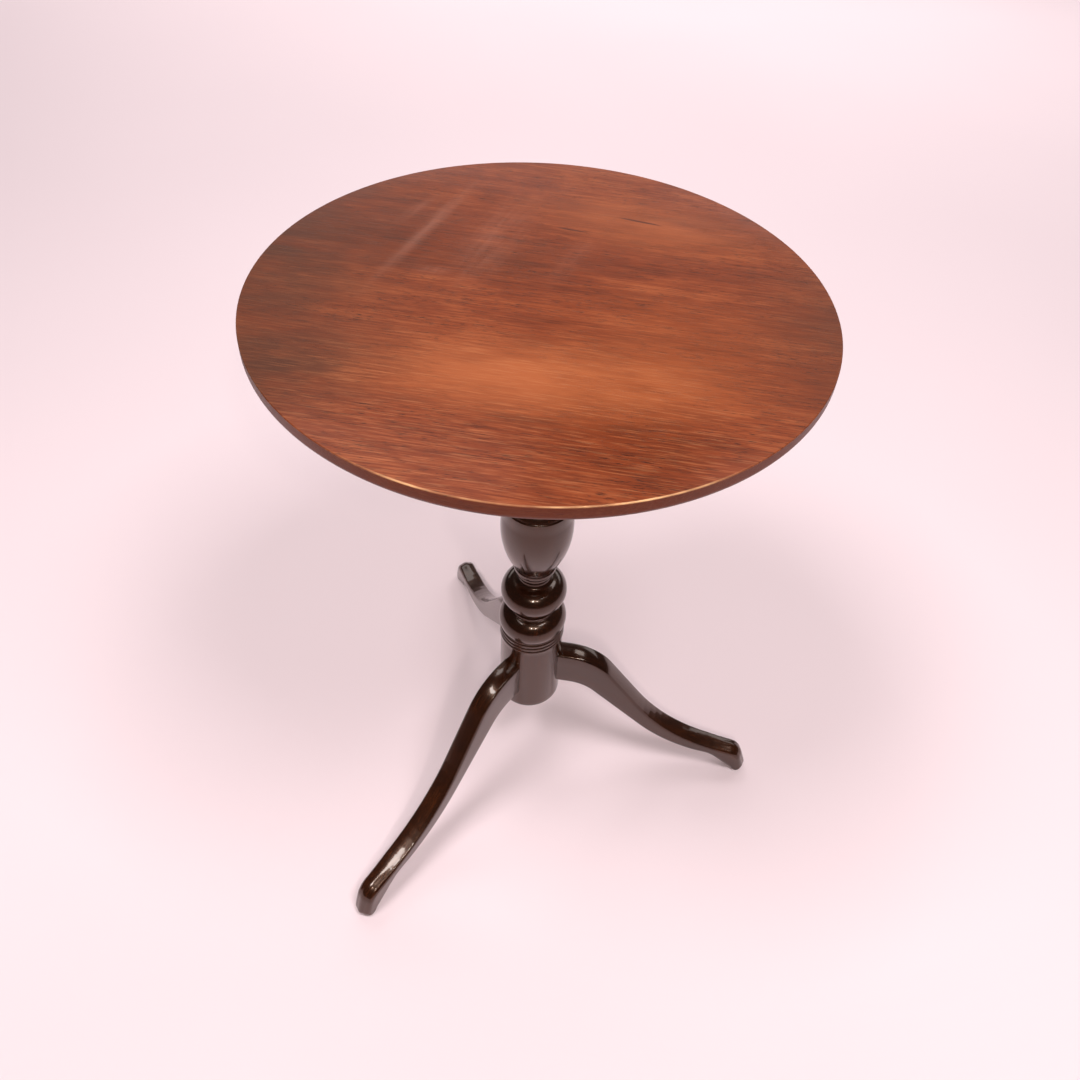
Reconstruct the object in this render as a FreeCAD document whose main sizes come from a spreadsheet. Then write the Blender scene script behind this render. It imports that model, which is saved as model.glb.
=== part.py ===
"""Tilt top table: a round board on bearers that swings up on two pintles over a turned
column with three cabriole legs, held down by a brass slide bolt.

Millimetres, +Z up.  The origin is on the floor under the column's axis.  +X runs along the
board's grain, the pintle axis and one leg; -Y is the front, over which the board hangs when
it is tilted up.
"""

import FreeCAD, Part
import math
import os
import re
import Sketcher

DOC = FreeCAD.newDocument("tilt_top_table")
VECTOR = FreeCAD.Vector
FUNCTIONS = {"cos", "sin", "tan", "sqrt", "abs", "deg"}

SIZES = {
    # whole table
    "table_height": 710.0,
    "board_radius": 258.5,
    "board_thickness": 16.0,
    "board_under_round": 7.0,
    "board_arris": 1.3,
    # bearers under the board
    "bearer_length": 400.0,
    "bearer_depth": 28.0,
    "bearer_width": 20.0,
    "bearer_tip_depth": 9.0,
    "bearer_taper": 70.0,
    "bearer_gap": 0.5,
    "bearer_screw_spread": 142.0,
    "bearer_screw_middle": 22.0,
    "bearer_counterbore_radius": 4.5,
    "bearer_counterbore_depth": 14.0,
    # tilting block and its pintles
    "block_width": 128.0,
    "block_thickness": 30.0,
    "block_back": 56.0,
    "block_chamfer": 9.0,
    "pintle_forward": 40.0,
    "pintle_drop": 16.0,
    "pintle_radius": 6.0,
    "pintle_in_block": 28.0,
    "pintle_play": 0.06,
    "pintle_chamfer": 0.8,
    "block_nose_play": 0.3,
    "block_nose_run": 2.0,
    # column: drum, reeds, cushion, ball, urn, neck
    "drum_base": 121.0,
    "drum_top": 229.5,
    "drum_radius": 37.0,
    "drum_chamfer": 1.5,
    "reed_count": 3.0,
    "reed_height": 4.6,
    "reed_groove": 1.2,
    "reed_round": 2.9,
    "cushion_inset": 0.5,
    "cushion_top": 276.0,
    "cushion_round": 19.5,
    "collar_radius": 26.0,
    "collar_step": 3.0,
    "ring_arris": 1.0,
    "ball_middle": 306.0,
    "ball_half_height": 18.4,
    "ball_neck_radius": 22.0,
    "ball_round": 18.6,
    "ball_step": 2.5,
    "fillet_radius_lower": 20.8,
    "fillet_radius_upper": 23.9,
    "fillet_lower_top": 341.0,
    "fillet_upper_top": 350.0,
    "fillet_height": 4.0,
    "cove_round": 7.0,
    "urn_base": 356.5,
    "urn_base_radius": 25.8,
    "urn_widest": 38.3,
    "urn_shoulder": 434.0,
    "urn_round": 125.0,
    "urn_rim": 449.5,
    "urn_taper": 0.4,
    "shoulder_inset": 1.8,
    "shoulder_step": 0.8,
    "shoulder_round": 15.0,
    "shoulder_top": 461.0,
    "neck_ring_height": 2.0,
    "neck_ring_arris": 0.5,
    "neck_ring_radius": 24.0,
    "neck_radius": 17.0,
    "neck_base": 482.0,
    "neck_cove_round": 30.0,
    "neck_top_radius": 14.5,
    "astragal_middle": 634.0,
    "astragal_half": 4.4,
    "astragal_round": 4.6,
    "astragal_radius": 16.0,
    "cap_radius": 27.0,
    "cap_lip": 7.0,
    "cap_arris": 0.5,
    "cap_round": 14.0,
    "tenon_radius": 15.0,
    "tenon_shy": 1.0,
    "kerf_depth": 18.0,
    "kerf_top": 3.4,
    "kerf_bottom": 1.0,
    "petal_count": 5.0,
    "petal_turn": 37.6,
    "petal_cut_wide": 2.5,
    "petal_cut_fine": 0.35,
    "petal_cut_base_radius": 25.0,
    "petal_cut_base": 355.0,
    "petal_cut_top_radius": 35.2,
    "petal_cut_top": 388.0,
    # legs: a straight-sided outline whose corners are rounded into the cabriole curve
    "leg_thickness": 23.5,
    "leg_turn": 120.0,
    "leg_root": 35.0,
    "leg_root_top": 198.5,
    "leg_root_base": 147.0,
    "knee_reach": 82.2,
    "knee_round": 65.0,
    "shin_reach": 187.3,
    "shin_height": 54.4,
    "shin_round": 180.0,
    "toe_reach": 285.5,
    "toe_height": 38.9,
    "toe_round": 22.0,
    "tip_reach": 298.5,
    "tip_round": 7.0,
    "heel_reach": 279.0,
    "heel_round": 8.0,
    "sole_reach": 246.0,
    "sole_height": 27.5,
    "sole_round": 40.0,
    "calf_reach": 178.3,
    "calf_height": 44.7,
    "calf_round": 170.0,
    "hock_reach": 68.3,
    "hock_round": 45.0,
    "toe_plan_round": 9.0,
    "toe_plan_inset": 3.0,
    "leg_arris": 2.6,
    "dovetail_depth": 13.0,
    "dovetail_mouth": 11.0,
    "dovetail_root": 16.0,
    "dovetail_top": 190.0,
    # iron plate under the drum
    "plate_thickness": 3.0,
    "plate_hub": 15.0,
    "plate_arm_reach": 34.0,
    "plate_arm_width": 13.0,
    "plate_screw_reach": 27.5,
    "plate_screw_play": 0.15,
    # brass slide bolt under the board, its keeper in the block
    "bolt_plate_gap": 4.0,
    "bolt_plate_length": 62.0,
    "bolt_plate_width": 46.0,
    "bolt_plate_thickness": 2.0,
    "bolt_screw_inset": 5.0,
    "case_width": 26.0,
    "case_length": 52.0,
    "case_height": 12.0,
    "case_wall": 1.5,
    "bolt_width": 12.0,
    "bolt_height": 7.0,
    "bolt_drop": 8.0,
    "bolt_length": 38.0,
    "bolt_play": 0.4,
    "bolt_bevel": 4.5,
    "bolt_travel": 9.0,
    "bolt_set_back": 2.0,
    "knob_stem_radius": 2.5,
    "knob_stem_back": 22.0,
    "knob_reach": 18.0,
    "knob_radius": 7.0,
    "knob_height": 7.0,
    "knob_face_radius": 4.0,
    "knob_face_round": 4.5,
    "knob_edge": 1.0,
    "knob_neck": 1.5,
    "spring_span": 18.0,
    "spring_set_back": 2.0,
    "spring_width": 8.0,
    "spring_thickness": 0.4,
    "spring_bow": 20.8,
    "keeper_width": 42.0,
    "keeper_depth": 22.0,
    "keeper_thickness": 1.5,
    "keeper_screw_spread": 15.0,
    "mortise_depth": 12.0,
    # wood screws
    "screw_play": 0.02,
    "bearer_screw_radius": 2.0,
    "bearer_screw_head": 3.9,
    "bearer_screw_head_height": 2.4,
    "bearer_screw_length": 22.0,
    "small_screw_radius": 1.1,
    "small_screw_head": 2.3,
    "small_screw_head_height": 1.2,
    "small_screw_length": 10.0,
    "plate_screw_radius": 1.8,
    "plate_screw_head": 3.6,
    "plate_screw_head_height": 2.2,
    "plate_screw_length": 20.0,
    "slot_width": 0.8,
    "slot_depth": 0.8,
    "shank_play": 0.1,
    "head_crown": 0.6,
    "head_edge": 0.6,
}


def make_sheet():
    """The spreadsheet that holds every driving dimension, one alias a row."""
    sheet = DOC.addObject("Spreadsheet::Sheet", "Sizes")
    for row, (alias, value) in enumerate(SIZES.items(), start=1):
        sheet.set(f"A{row}", alias)
        sheet.set(f"B{row}", str(value))
        sheet.setAlias(f"B{row}", alias)
    DOC.recompute()
    return sheet


SHEET = make_sheet()


def bound(text):
    """An expression on the sheet's cells, from plain alias names."""

    def cell(match):
        word = match.group(0)
        return word if word in FUNCTIONS else f"Sizes.{word}"

    return re.sub(r"[a-z][a-z_]*", cell, str(text))


def number(text):
    """What an expression on the sheet comes to now."""
    return float(SHEET.evalExpression(bound(text)))


def new_body(label):
    body = DOC.addObject("PartDesign::Body", label)
    body.Label = label
    return body


def new_sketch(body, role, offset=None):
    """A sketch on one of the body's own origin planes, moved off it by an expression."""
    sketch = body.newObject("Sketcher::SketchObject", f"{body.Name}_outline")
    plane = next(item for item in body.Origin.OriginFeatures if item.Role == role)
    sketch.AttachmentSupport = [(plane, "")]
    sketch.MapMode = "FlatFace"
    if offset is not None:
        sketch.setExpression("AttachmentOffset.Base.z", bound(offset))
    return sketch


def bind(sketch, kind, *where, value):
    """One dimension of a sketch, bound to the sheet."""
    index = sketch.addConstraint(Sketcher.Constraint(kind, *where, number(value)))
    sketch.setExpression(f"Constraints[{index}]", bound(value))


def arc_between(start, end, radius, side):
    """The arc of a circle from start to end; side is +1 when it bulges to the left."""
    chord = end - start
    half = chord.Length / 2
    left = VECTOR(-chord.y, chord.x, 0).normalize()
    centre = (start + end) * 0.5 - left * side * math.sqrt(max(radius**2 - half**2, 0.0))
    first, last = (end, start) if side > 0 else (start, end)
    angles = [math.atan2(p.y - centre.y, p.x - centre.x) for p in (first, last)]
    circle = Part.Circle(centre, VECTOR(0, 0, 1), radius)
    return Part.ArcOfCircle(circle, angles[0], angles[1])


def outline(sketch, *corners):
    """A closed outline through corners (x, y) or (x, y, radius, side).

    The radius and side describe the arc that leaves the corner for the next one; without
    them a straight line does.
    """
    points = [VECTOR(number(c[0]), number(c[1]), 0) for c in corners]
    ends = []
    for index, corner in enumerate(corners):
        start = points[index]
        end = points[(index + 1) % len(points)]
        if len(corner) == 2:
            geometry = sketch.addGeometry(Part.LineSegment(start, end), False)
            ends.append((geometry, 1, 2))
        else:
            curve = arc_between(start, end, number(corner[2]), corner[3])
            geometry = sketch.addGeometry(curve, False)
            ends.append((geometry, 2, 1) if corner[3] > 0 else (geometry, 1, 2))
    for index, (geometry, first, last) in enumerate(ends):
        following = ends[(index + 1) % len(ends)]
        sketch.addConstraint(
            Sketcher.Constraint("Coincident", geometry, last, following[0], following[1])
        )
    for (geometry, first, last), corner in zip(ends, corners):
        bind(sketch, "DistanceX", -1, 1, geometry, first, value=corner[0])
        bind(sketch, "DistanceY", -1, 1, geometry, first, value=corner[1])
        if len(corner) > 2:
            bind(sketch, "Radius", geometry, value=corner[2])


def circles(sketch, radius, *centres):
    """Circles of one radius about centres (x, y)."""
    for x, y in centres:
        circle = Part.Circle(VECTOR(number(x), number(y), 0), VECTOR(0, 0, 1), number(radius))
        geometry = sketch.addGeometry(circle, False)
        bind(sketch, "DistanceX", -1, 1, geometry, 3, value=x)
        bind(sketch, "DistanceY", -1, 1, geometry, 3, value=y)
        bind(sketch, "Radius", geometry, value=radius)


def pad(body, sketch, length, middle=False, reverse=False, kind="Pad"):
    """A pad, or a pocket that is checked to have cut something."""
    before = body.Shape.Volume if kind == "Pocket" else 0.0
    feature = body.newObject(f"PartDesign::{kind}", f"{body.Name}_{kind.lower()}")
    feature.Profile = sketch
    feature.setExpression("Length", bound(length))
    feature.SideType = "Symmetric" if middle else "One side"
    feature.Reversed = reverse
    sketch.Visibility = False
    DOC.recompute()
    if kind == "Pocket" and body.Shape.Volume > before - 0.01:
        raise ValueError(f"a pocket in {body.Label} cuts nothing")
    return feature


def pocket(body, sketch, length, middle=False, reverse=False):
    return pad(body, sketch, length, middle, reverse, kind="Pocket")


def revolve(body, sketch):
    """A full turn about the sketch's vertical axis."""
    feature = body.newObject("PartDesign::Revolution", f"{body.Name}_turning")
    feature.Profile = sketch
    feature.ReferenceAxis = (sketch, ["V_Axis"])
    feature.Angle = 360
    DOC.recompute()
    return feature


def around(body, features, count):
    """The features repeated evenly about the body's Z axis."""
    pattern = body.newObject("PartDesign::PolarPattern", f"{body.Name}_around")
    pattern.Originals = features
    axis = next(item for item in body.Origin.OriginFeatures if item.Role == "Z_Axis")
    pattern.Axis = (axis, [""])
    pattern.Angle = 360
    pattern.setExpression("Occurrences", bound(count))
    body.Tip = pattern
    DOC.recompute()
    return pattern


def round_edges(body, radius, chosen, kind="Fillet"):
    """A fillet, or a chamfer, on the tip's edges that chosen(edge) accepts."""
    base = body.Tip
    names = [f"Edge{i}" for i, e in enumerate(base.Shape.Edges, start=1) if chosen(e)]
    feature = body.newObject(f"PartDesign::{kind}", f"{body.Name}_{kind.lower()}")
    feature.Base = (base, names)
    feature.setExpression("Radius" if kind == "Fillet" else "Size", bound(radius))
    DOC.recompute()
    return feature


def is_across(edge, x, z):
    """Whether an edge runs along Y through the point (x, z)."""
    ends = [vertex.Point for vertex in edge.Vertexes]
    return len(ends) == 2 and all(math.hypot(p.x - x, p.z - z) < 0.01 for p in ends)


def is_ring(edge, radius, axis, level):
    """Whether an edge is a whole circle of a radius, at a level along axis 0, 1 or 2."""
    if not isinstance(edge.Curve, Part.Circle) or len(edge.Vertexes) != 1:
        return False
    right_radius = abs(edge.Curve.Radius - number(radius)) < 0.01
    return right_radius and abs(edge.Curve.Center[axis] - number(level)) < 0.01


UNDER = "table_height - board_thickness"
BLOCK_BASE = f"({UNDER} - block_thickness)"
PINTLE_HEIGHT = f"({UNDER} - pintle_drop)"
BOLT_HEIGHT = f"({UNDER} - bolt_drop)"
BOLT_PLATE_START = "(block_back + bolt_plate_gap)"
CASE_FLOOR = f"({UNDER} - bolt_plate_thickness - case_height)"


def bearer_screw_sites():
    return ["-bearer_screw_spread", "bearer_screw_middle", "bearer_screw_spread"]


def bolt_screw_sites():
    """The bolt plate's four screw centres as (x, y)."""
    across = "(bolt_plate_width / 2 - bolt_screw_inset)"
    near = f"({BOLT_PLATE_START} + bolt_screw_inset)"
    far = f"({BOLT_PLATE_START} + bolt_plate_length - bolt_screw_inset)"
    return [(f"{side}{across}", along) for side in ("-", "") for along in (near, far)]


def plate_screw_sites():
    """The spider plate's screw centres as (x, y): one in each dovetail."""
    turns = [f"leg_turn * {index} * 1deg" for index in range(3)]
    return [(f"plate_screw_reach * cos({t})", f"plate_screw_reach * sin({t})") for t in turns]


def make_top_board():
    body = new_body("top_board")
    sketch = new_sketch(body, "XZ_Plane")
    outline(
        sketch,
        ("0", UNDER),
        ("board_radius - board_under_round", UNDER, "board_under_round", -1),
        ("board_radius", f"{UNDER} + board_under_round"),
        ("board_radius", "table_height - board_arris", "board_arris", -1),
        ("board_radius - board_arris", "table_height"),
        ("0", "table_height"),
    )
    revolve(body, sketch)
    across = "(block_width / 2 + bearer_gap + bearer_width / 2)"
    sites = [(f"{s}{across}", y) for s in ("-", "") for y in bearer_screw_sites()]
    pilots = new_sketch(body, "XY_Plane", UNDER)
    circles(pilots, "bearer_screw_radius + screw_play", *sites)
    bearer_bite = "bearer_screw_length - bearer_depth + bearer_counterbore_depth + screw_play"
    pocket(body, pilots, bearer_bite, reverse=True)
    pilots = new_sketch(body, "XY_Plane", UNDER)
    circles(pilots, "small_screw_radius + screw_play", *bolt_screw_sites())
    pocket(body, pilots, "small_screw_length - bolt_plate_thickness + screw_play", reverse=True)
    return body


def make_bearer(label, side):
    body = new_body(label)
    sketch = new_sketch(body, "YZ_Plane")
    half = "bearer_length / 2"
    outline(
        sketch,
        (f"-{half}", UNDER),
        (f"-{half}", f"{UNDER} - bearer_tip_depth"),
        (f"-{half} + bearer_taper", f"{UNDER} - bearer_depth"),
        (f"{half} - bearer_taper", f"{UNDER} - bearer_depth"),
        (half, f"{UNDER} - bearer_tip_depth"),
        (half, UNDER),
    )
    pad(body, sketch, "bearer_width", middle=True)
    bore = new_sketch(body, "YZ_Plane")
    circles(bore, "pintle_radius + pintle_play", ("-pintle_forward", PINTLE_HEIGHT))
    pocket(body, bore, "bearer_width * 2", middle=True)
    shanks = new_sketch(body, "XY_Plane", f"{UNDER} - bearer_depth")
    circles(shanks, "bearer_screw_radius + shank_play", *[("0", y) for y in bearer_screw_sites()])
    pocket(body, shanks, "bearer_depth", reverse=True)
    heads = new_sketch(body, "XY_Plane", f"{UNDER} - bearer_depth")
    circles(heads, "bearer_counterbore_radius", *[("0", y) for y in bearer_screw_sites()])
    pocket(body, heads, "bearer_counterbore_depth", reverse=True)
    offset = "(block_width / 2 + bearer_gap + bearer_width / 2)"
    body.setExpression("Placement.Base.x", bound(f"{side} * {offset}"))
    return body


def make_tilt_block():
    body = new_body("tilt_block")
    sketch = new_sketch(body, "YZ_Plane")
    nose = "(pintle_drop - block_nose_play)"
    outline(
        sketch,
        ("block_back", UNDER),
        ("-pintle_forward + block_nose_run", UNDER),
        ("-pintle_forward", f"{PINTLE_HEIGHT} + {nose}", nose, -1),
        (f"-pintle_forward - {nose}", PINTLE_HEIGHT),
        (f"-pintle_forward - {nose}", f"{BLOCK_BASE} + block_chamfer"),
        (f"-pintle_forward - {nose} + block_chamfer", BLOCK_BASE),
        ("block_back - block_chamfer", BLOCK_BASE),
        ("block_back", f"{BLOCK_BASE} + block_chamfer"),
    )
    pad(body, sketch, "block_width", middle=True)
    socket = new_sketch(body, "XY_Plane", BLOCK_BASE)
    circles(socket, "tenon_radius", ("0", "0"))
    pocket(body, socket, "block_thickness", reverse=True)
    recess = new_sketch(body, "YZ_Plane")
    outline(
        recess,
        ("block_back - keeper_thickness", f"{UNDER} - keeper_depth"),
        ("block_back", f"{UNDER} - keeper_depth"),
        ("block_back", UNDER),
        ("block_back - keeper_thickness", UNDER),
    )
    pocket(body, recess, "keeper_width", middle=True)
    mortise = new_sketch(body, "YZ_Plane")
    outline(
        mortise,
        ("block_back - mortise_depth", f"{BOLT_HEIGHT} - bolt_height / 2 - 2 * bolt_play"),
        ("block_back", f"{BOLT_HEIGHT} - bolt_height / 2 - 2 * bolt_play"),
        ("block_back", f"{BOLT_HEIGHT} + bolt_height / 2 + 2 * bolt_play"),
        ("block_back - mortise_depth", f"{BOLT_HEIGHT} + bolt_height / 2 + 2 * bolt_play"),
    )
    pocket(body, mortise, "bolt_width + 4 * bolt_play", middle=True)
    pilots = new_sketch(body, "XZ_Plane", "keeper_thickness - block_back")
    sites = [(f"{side}keeper_screw_spread", BOLT_HEIGHT) for side in ("-", "")]
    circles(pilots, "small_screw_radius + screw_play", *sites)
    pocket(body, pilots, "small_screw_length - keeper_thickness + screw_play", reverse=True)
    holes = new_sketch(body, "YZ_Plane")
    circles(holes, "pintle_radius", ("-pintle_forward", PINTLE_HEIGHT))
    pocket(body, holes, "block_width", middle=True)
    return body


def make_pintle(label, side):
    body = new_body(label)
    sketch = new_sketch(body, "YZ_Plane")
    circles(sketch, "pintle_radius", ("-pintle_forward", PINTLE_HEIGHT))
    reach = "(pintle_in_block + bearer_gap + bearer_width)"
    pad(body, sketch, reach, middle=True)
    half = f"({reach} / 2)"
    for level in (f"-{half}", half):
        round_edges(
            body,
            "pintle_chamfer",
            lambda edge: is_ring(edge, "pintle_radius", 0, level),
            kind="Chamfer",
        )
    middle = f"(block_width / 2 - pintle_in_block + {reach} / 2)"
    body.setExpression("Placement.Base.x", bound(f"{side} * {middle}"))
    return body


def column_profile():
    """The turned column's half section, from the drum's foot up to the tenon."""
    reeds = []
    for ring in range(int(number("reed_count"))):
        foot = f"(drum_top + {ring} * (reed_height + reed_groove))"
        reeds += [
            ("drum_radius", foot, "reed_round", -1),
            ("drum_radius", f"{foot} + reed_height"),
        ]
    cushion_foot = "(drum_top + reed_count * (reed_height + reed_groove))"
    ball_foot = "(ball_middle - ball_half_height)"
    ball_head = "(ball_middle + ball_half_height)"
    astragal_foot = "(astragal_middle - astragal_half)"
    astragal_head = "(astragal_middle + astragal_half)"
    tenon_top = f"{UNDER} - tenon_shy"
    return [
        ("0", "drum_base"),
        ("drum_radius - drum_chamfer", "drum_base"),
        ("drum_radius", "drum_base + drum_chamfer"),
        *reeds,
        ("drum_radius - cushion_inset", cushion_foot, "cushion_round", -1),
        ("collar_radius", "cushion_top"),
        ("collar_radius", "cushion_top + fillet_height - ring_arris"),
        ("collar_radius - collar_step", "cushion_top + fillet_height"),
        ("ball_neck_radius", ball_foot, "ball_round", -1),
        ("ball_neck_radius", ball_head),
        ("ball_neck_radius - ball_step", f"{ball_head} + ring_arris", "cove_round", 1),
        ("fillet_radius_lower - ring_arris", "fillet_lower_top - fillet_height"),
        ("fillet_radius_lower", "fillet_lower_top - fillet_height"),
        ("fillet_radius_lower", "fillet_lower_top"),
        ("fillet_radius_lower - ring_arris", "fillet_lower_top", "cove_round", 1),
        ("fillet_radius_upper - ring_arris", "fillet_upper_top - fillet_height"),
        ("fillet_radius_upper", "fillet_upper_top - fillet_height"),
        ("fillet_radius_upper", "fillet_upper_top"),
        ("fillet_radius_upper - ring_arris", "fillet_upper_top", "cove_round", 1),
        ("urn_base_radius - ring_arris", "urn_base - ring_arris / 2"),
        ("urn_base_radius", "urn_base", "urn_round", -1),
        ("urn_widest", "urn_shoulder"),
        ("urn_widest - urn_taper", "urn_rim"),
        ("urn_widest - shoulder_inset", "urn_rim + shoulder_step", "shoulder_round", -1),
        ("neck_ring_radius", "shoulder_top"),
        ("neck_ring_radius", "shoulder_top + neck_ring_height"),
        (
            "neck_ring_radius - neck_ring_height",
            "shoulder_top + neck_ring_height + neck_ring_arris",
            "neck_cove_round",
            1,
        ),
        ("neck_radius", "neck_base"),
        ("neck_top_radius", astragal_foot),
        ("astragal_radius", astragal_foot, "astragal_round", -1),
        ("astragal_radius", astragal_head),
        ("neck_top_radius + cap_arris", astragal_head, "cap_round", 1),
        ("cap_radius - ring_arris", f"{BLOCK_BASE} - cap_lip"),
        ("cap_radius", f"{BLOCK_BASE} - cap_lip + cap_arris"),
        ("cap_radius", BLOCK_BASE),
        ("tenon_radius", BLOCK_BASE),
        ("tenon_radius", tenon_top),
        ("0", tenon_top),
    ]


def kerf_outline(sketch):
    """The tapered slot across the tenon's top, and the wedge that fills it."""
    outline(
        sketch,
        ("-kerf_bottom / 2", f"{UNDER} - tenon_shy - kerf_depth"),
        ("kerf_bottom / 2", f"{UNDER} - tenon_shy - kerf_depth"),
        ("kerf_top / 2", f"{UNDER} - tenon_shy"),
        ("-kerf_top / 2", f"{UNDER} - tenon_shy"),
    )


def dovetail_outline(sketch):
    """The dovetail's plan, for the leg that points along +X."""
    outline(
        sketch,
        ("leg_root - dovetail_depth", "-dovetail_root / 2"),
        ("leg_root", "-dovetail_mouth / 2"),
        ("leg_root", "dovetail_mouth / 2"),
        ("leg_root - dovetail_depth", "dovetail_root / 2"),
    )


def make_column():
    body = new_body("column")
    sketch = new_sketch(body, "XZ_Plane")
    outline(sketch, *column_profile())
    revolve(body, sketch)
    kerf = new_sketch(body, "YZ_Plane")
    kerf_outline(kerf)
    pocket(body, kerf, "tenon_radius * 2", middle=True)
    flat = new_sketch(body, "XY_Plane", "drum_base")
    outline(
        flat,
        ("leg_root", "-leg_thickness / 2"),
        ("drum_radius + drum_chamfer", "-leg_thickness / 2"),
        ("drum_radius + drum_chamfer", "leg_thickness / 2"),
        ("leg_root", "leg_thickness / 2"),
    )
    flats = pocket(body, flat, "leg_root_top - drum_base", reverse=True)
    around(body, [flats], "360 / leg_turn")
    tail = new_sketch(body, "XY_Plane", "drum_base")
    dovetail_outline(tail)
    sockets = pocket(body, tail, "dovetail_top - drum_base", reverse=True)
    around(body, [sockets], "360 / leg_turn")
    cut = body.newObject("PartDesign::SubtractiveCone", "petal_cut")
    cut.setExpression("Radius1", bound("petal_cut_wide"))
    cut.setExpression("Radius2", bound("petal_cut_fine"))
    flare = number("petal_cut_top_radius - petal_cut_base_radius")
    rise = number("petal_cut_top - petal_cut_base")
    cut.Height = math.hypot(flare, rise)
    lean = FreeCAD.Rotation(VECTOR(0, 1, 0), math.degrees(math.atan2(flare, rise)))
    foot = VECTOR(number("petal_cut_base_radius"), 0, number("petal_cut_base"))
    turn = FreeCAD.Placement(VECTOR(), FreeCAD.Rotation(VECTOR(0, 0, 1), number("petal_turn")))
    cut.Placement = turn.multiply(FreeCAD.Placement(foot, lean))
    body.Tip = cut
    DOC.recompute()
    around(body, [cut], "petal_count")
    return body


def make_tenon_wedge():
    body = new_body("tenon_wedge")
    sketch = new_sketch(body, "YZ_Plane")
    kerf_outline(sketch)
    pad(body, sketch, "tenon_radius * 1.8", middle=True)
    return body


def make_leg(label, index):
    body = new_body(label)
    side = new_sketch(body, "XZ_Plane")
    corners = {
        "knee": ("knee_reach", "leg_root_top", "knee_round"),
        "shin": ("shin_reach", "shin_height", "shin_round"),
        "toe": ("toe_reach", "toe_height", "toe_round"),
        "tip": ("tip_reach", "0", "tip_round"),
        "heel": ("heel_reach", "0", "heel_round"),
        "sole": ("sole_reach", "sole_height", "sole_round"),
        "calf": ("calf_reach", "calf_height", "calf_round"),
        "hock": ("hock_reach", "leg_root_base", "hock_round"),
    }
    outline(
        side,
        ("leg_root", "leg_root_top"),
        *[corner[:2] for corner in corners.values()],
        ("leg_root", "leg_root_base"),
    )
    pad(body, side, "leg_thickness", middle=True)
    for x, z, radius in corners.values():
        round_edges(body, radius, lambda edge: is_across(edge, number(x), number(z)))
    side_face = number("leg_thickness / 2")
    root = number("leg_root")
    round_edges(
        body,
        "leg_arris",
        lambda edge: all(abs(abs(v.Point.y) - side_face) < 0.01 for v in edge.Vertexes)
        and edge.Vertexes[0].Point.y * edge.Vertexes[1].Point.y > 0
        and max(v.Point.x for v in edge.Vertexes) > root + 0.01,
    )
    toe = new_sketch(body, "XY_Plane")
    half = "leg_thickness / 2"
    for sign, bulge in (("-", -1), ("", 1)):
        outline(
            toe,
            ("tip_reach", f"{sign}{half}"),
            (
                "tip_reach - toe_plan_round - toe_plan_inset",
                f"{sign}{half}",
                "toe_plan_round",
                bulge,
            ),
            ("tip_reach - toe_plan_inset", f"{sign}({half} - toe_plan_round)"),
            ("tip_reach", f"{sign}({half} - toe_plan_round)"),
        )
    pocket(body, toe, "leg_root_top", reverse=True)
    tail = new_sketch(body, "XY_Plane", "drum_base")
    dovetail_outline(tail)
    pad(body, tail, "dovetail_top - drum_base")
    pilot = new_sketch(body, "XY_Plane", "drum_base")
    circles(pilot, "plate_screw_radius + screw_play", ("plate_screw_reach", "0"))
    pocket(body, pilot, "plate_screw_length - plate_thickness + screw_play", reverse=True)
    body.setExpression("Placement.Rotation.Angle", bound(f"leg_turn * {index} * 1deg"))
    return body


def make_spider_plate():
    body = new_body("spider_plate")
    hub = new_sketch(body, "XY_Plane", "drum_base - plate_thickness")
    circles(hub, "plate_hub", ("0", "0"))
    pad(body, hub, "plate_thickness")
    sketch = new_sketch(body, "XY_Plane", "drum_base - plate_thickness")
    outline(
        sketch,
        ("0", "-plate_arm_width / 2"),
        ("plate_arm_reach", "-plate_arm_width / 2"),
        ("plate_arm_reach", "plate_arm_width / 2"),
        ("0", "plate_arm_width / 2"),
    )
    arm = pad(body, sketch, "plate_thickness")
    around(body, [arm], "360 / leg_turn")
    holes = new_sketch(body, "XY_Plane", "drum_base - plate_thickness")
    circles(holes, "plate_screw_radius + plate_screw_play", *plate_screw_sites())
    pocket(body, holes, "plate_thickness", reverse=True)
    return body


def make_screw(name, size, flat):
    """One wood screw that points along +Z from the origin, with a slotted head.

    A flat head sinks into its seat; a round one stands below it.
    """
    body = new_body(name)
    sketch = new_sketch(body, "XZ_Plane")
    radius, head, height = f"{size}_screw_radius", f"{size}_screw_head", f"{size}_screw_head_height"
    tip = f"{size}_screw_length"
    if flat:
        crown = [("0", "0"), (head, "0"), (radius, height)]
        slot_floor = "slot_depth"
    else:
        crown = [("0", f"-{height}"), (f"{head} * head_crown", f"-{height}")]
        crown += [(head, "-head_edge")]
        crown += [(head, "0"), (radius, "0")]
        slot_floor = f"-{height} + slot_depth"
    outline(sketch, *crown, (radius, f"{tip} - {radius}"), ("0", tip))
    revolve(body, sketch)
    slot = new_sketch(body, "XZ_Plane")
    mouth = "-1" if flat else f"-{height} - 1"
    outline(
        slot,
        ("-slot_width / 2", mouth),
        ("slot_width / 2", mouth),
        ("slot_width / 2", slot_floor),
        ("-slot_width / 2", slot_floor),
    )
    pocket(body, slot, f"{head} * 3", middle=True)
    return body


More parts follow.
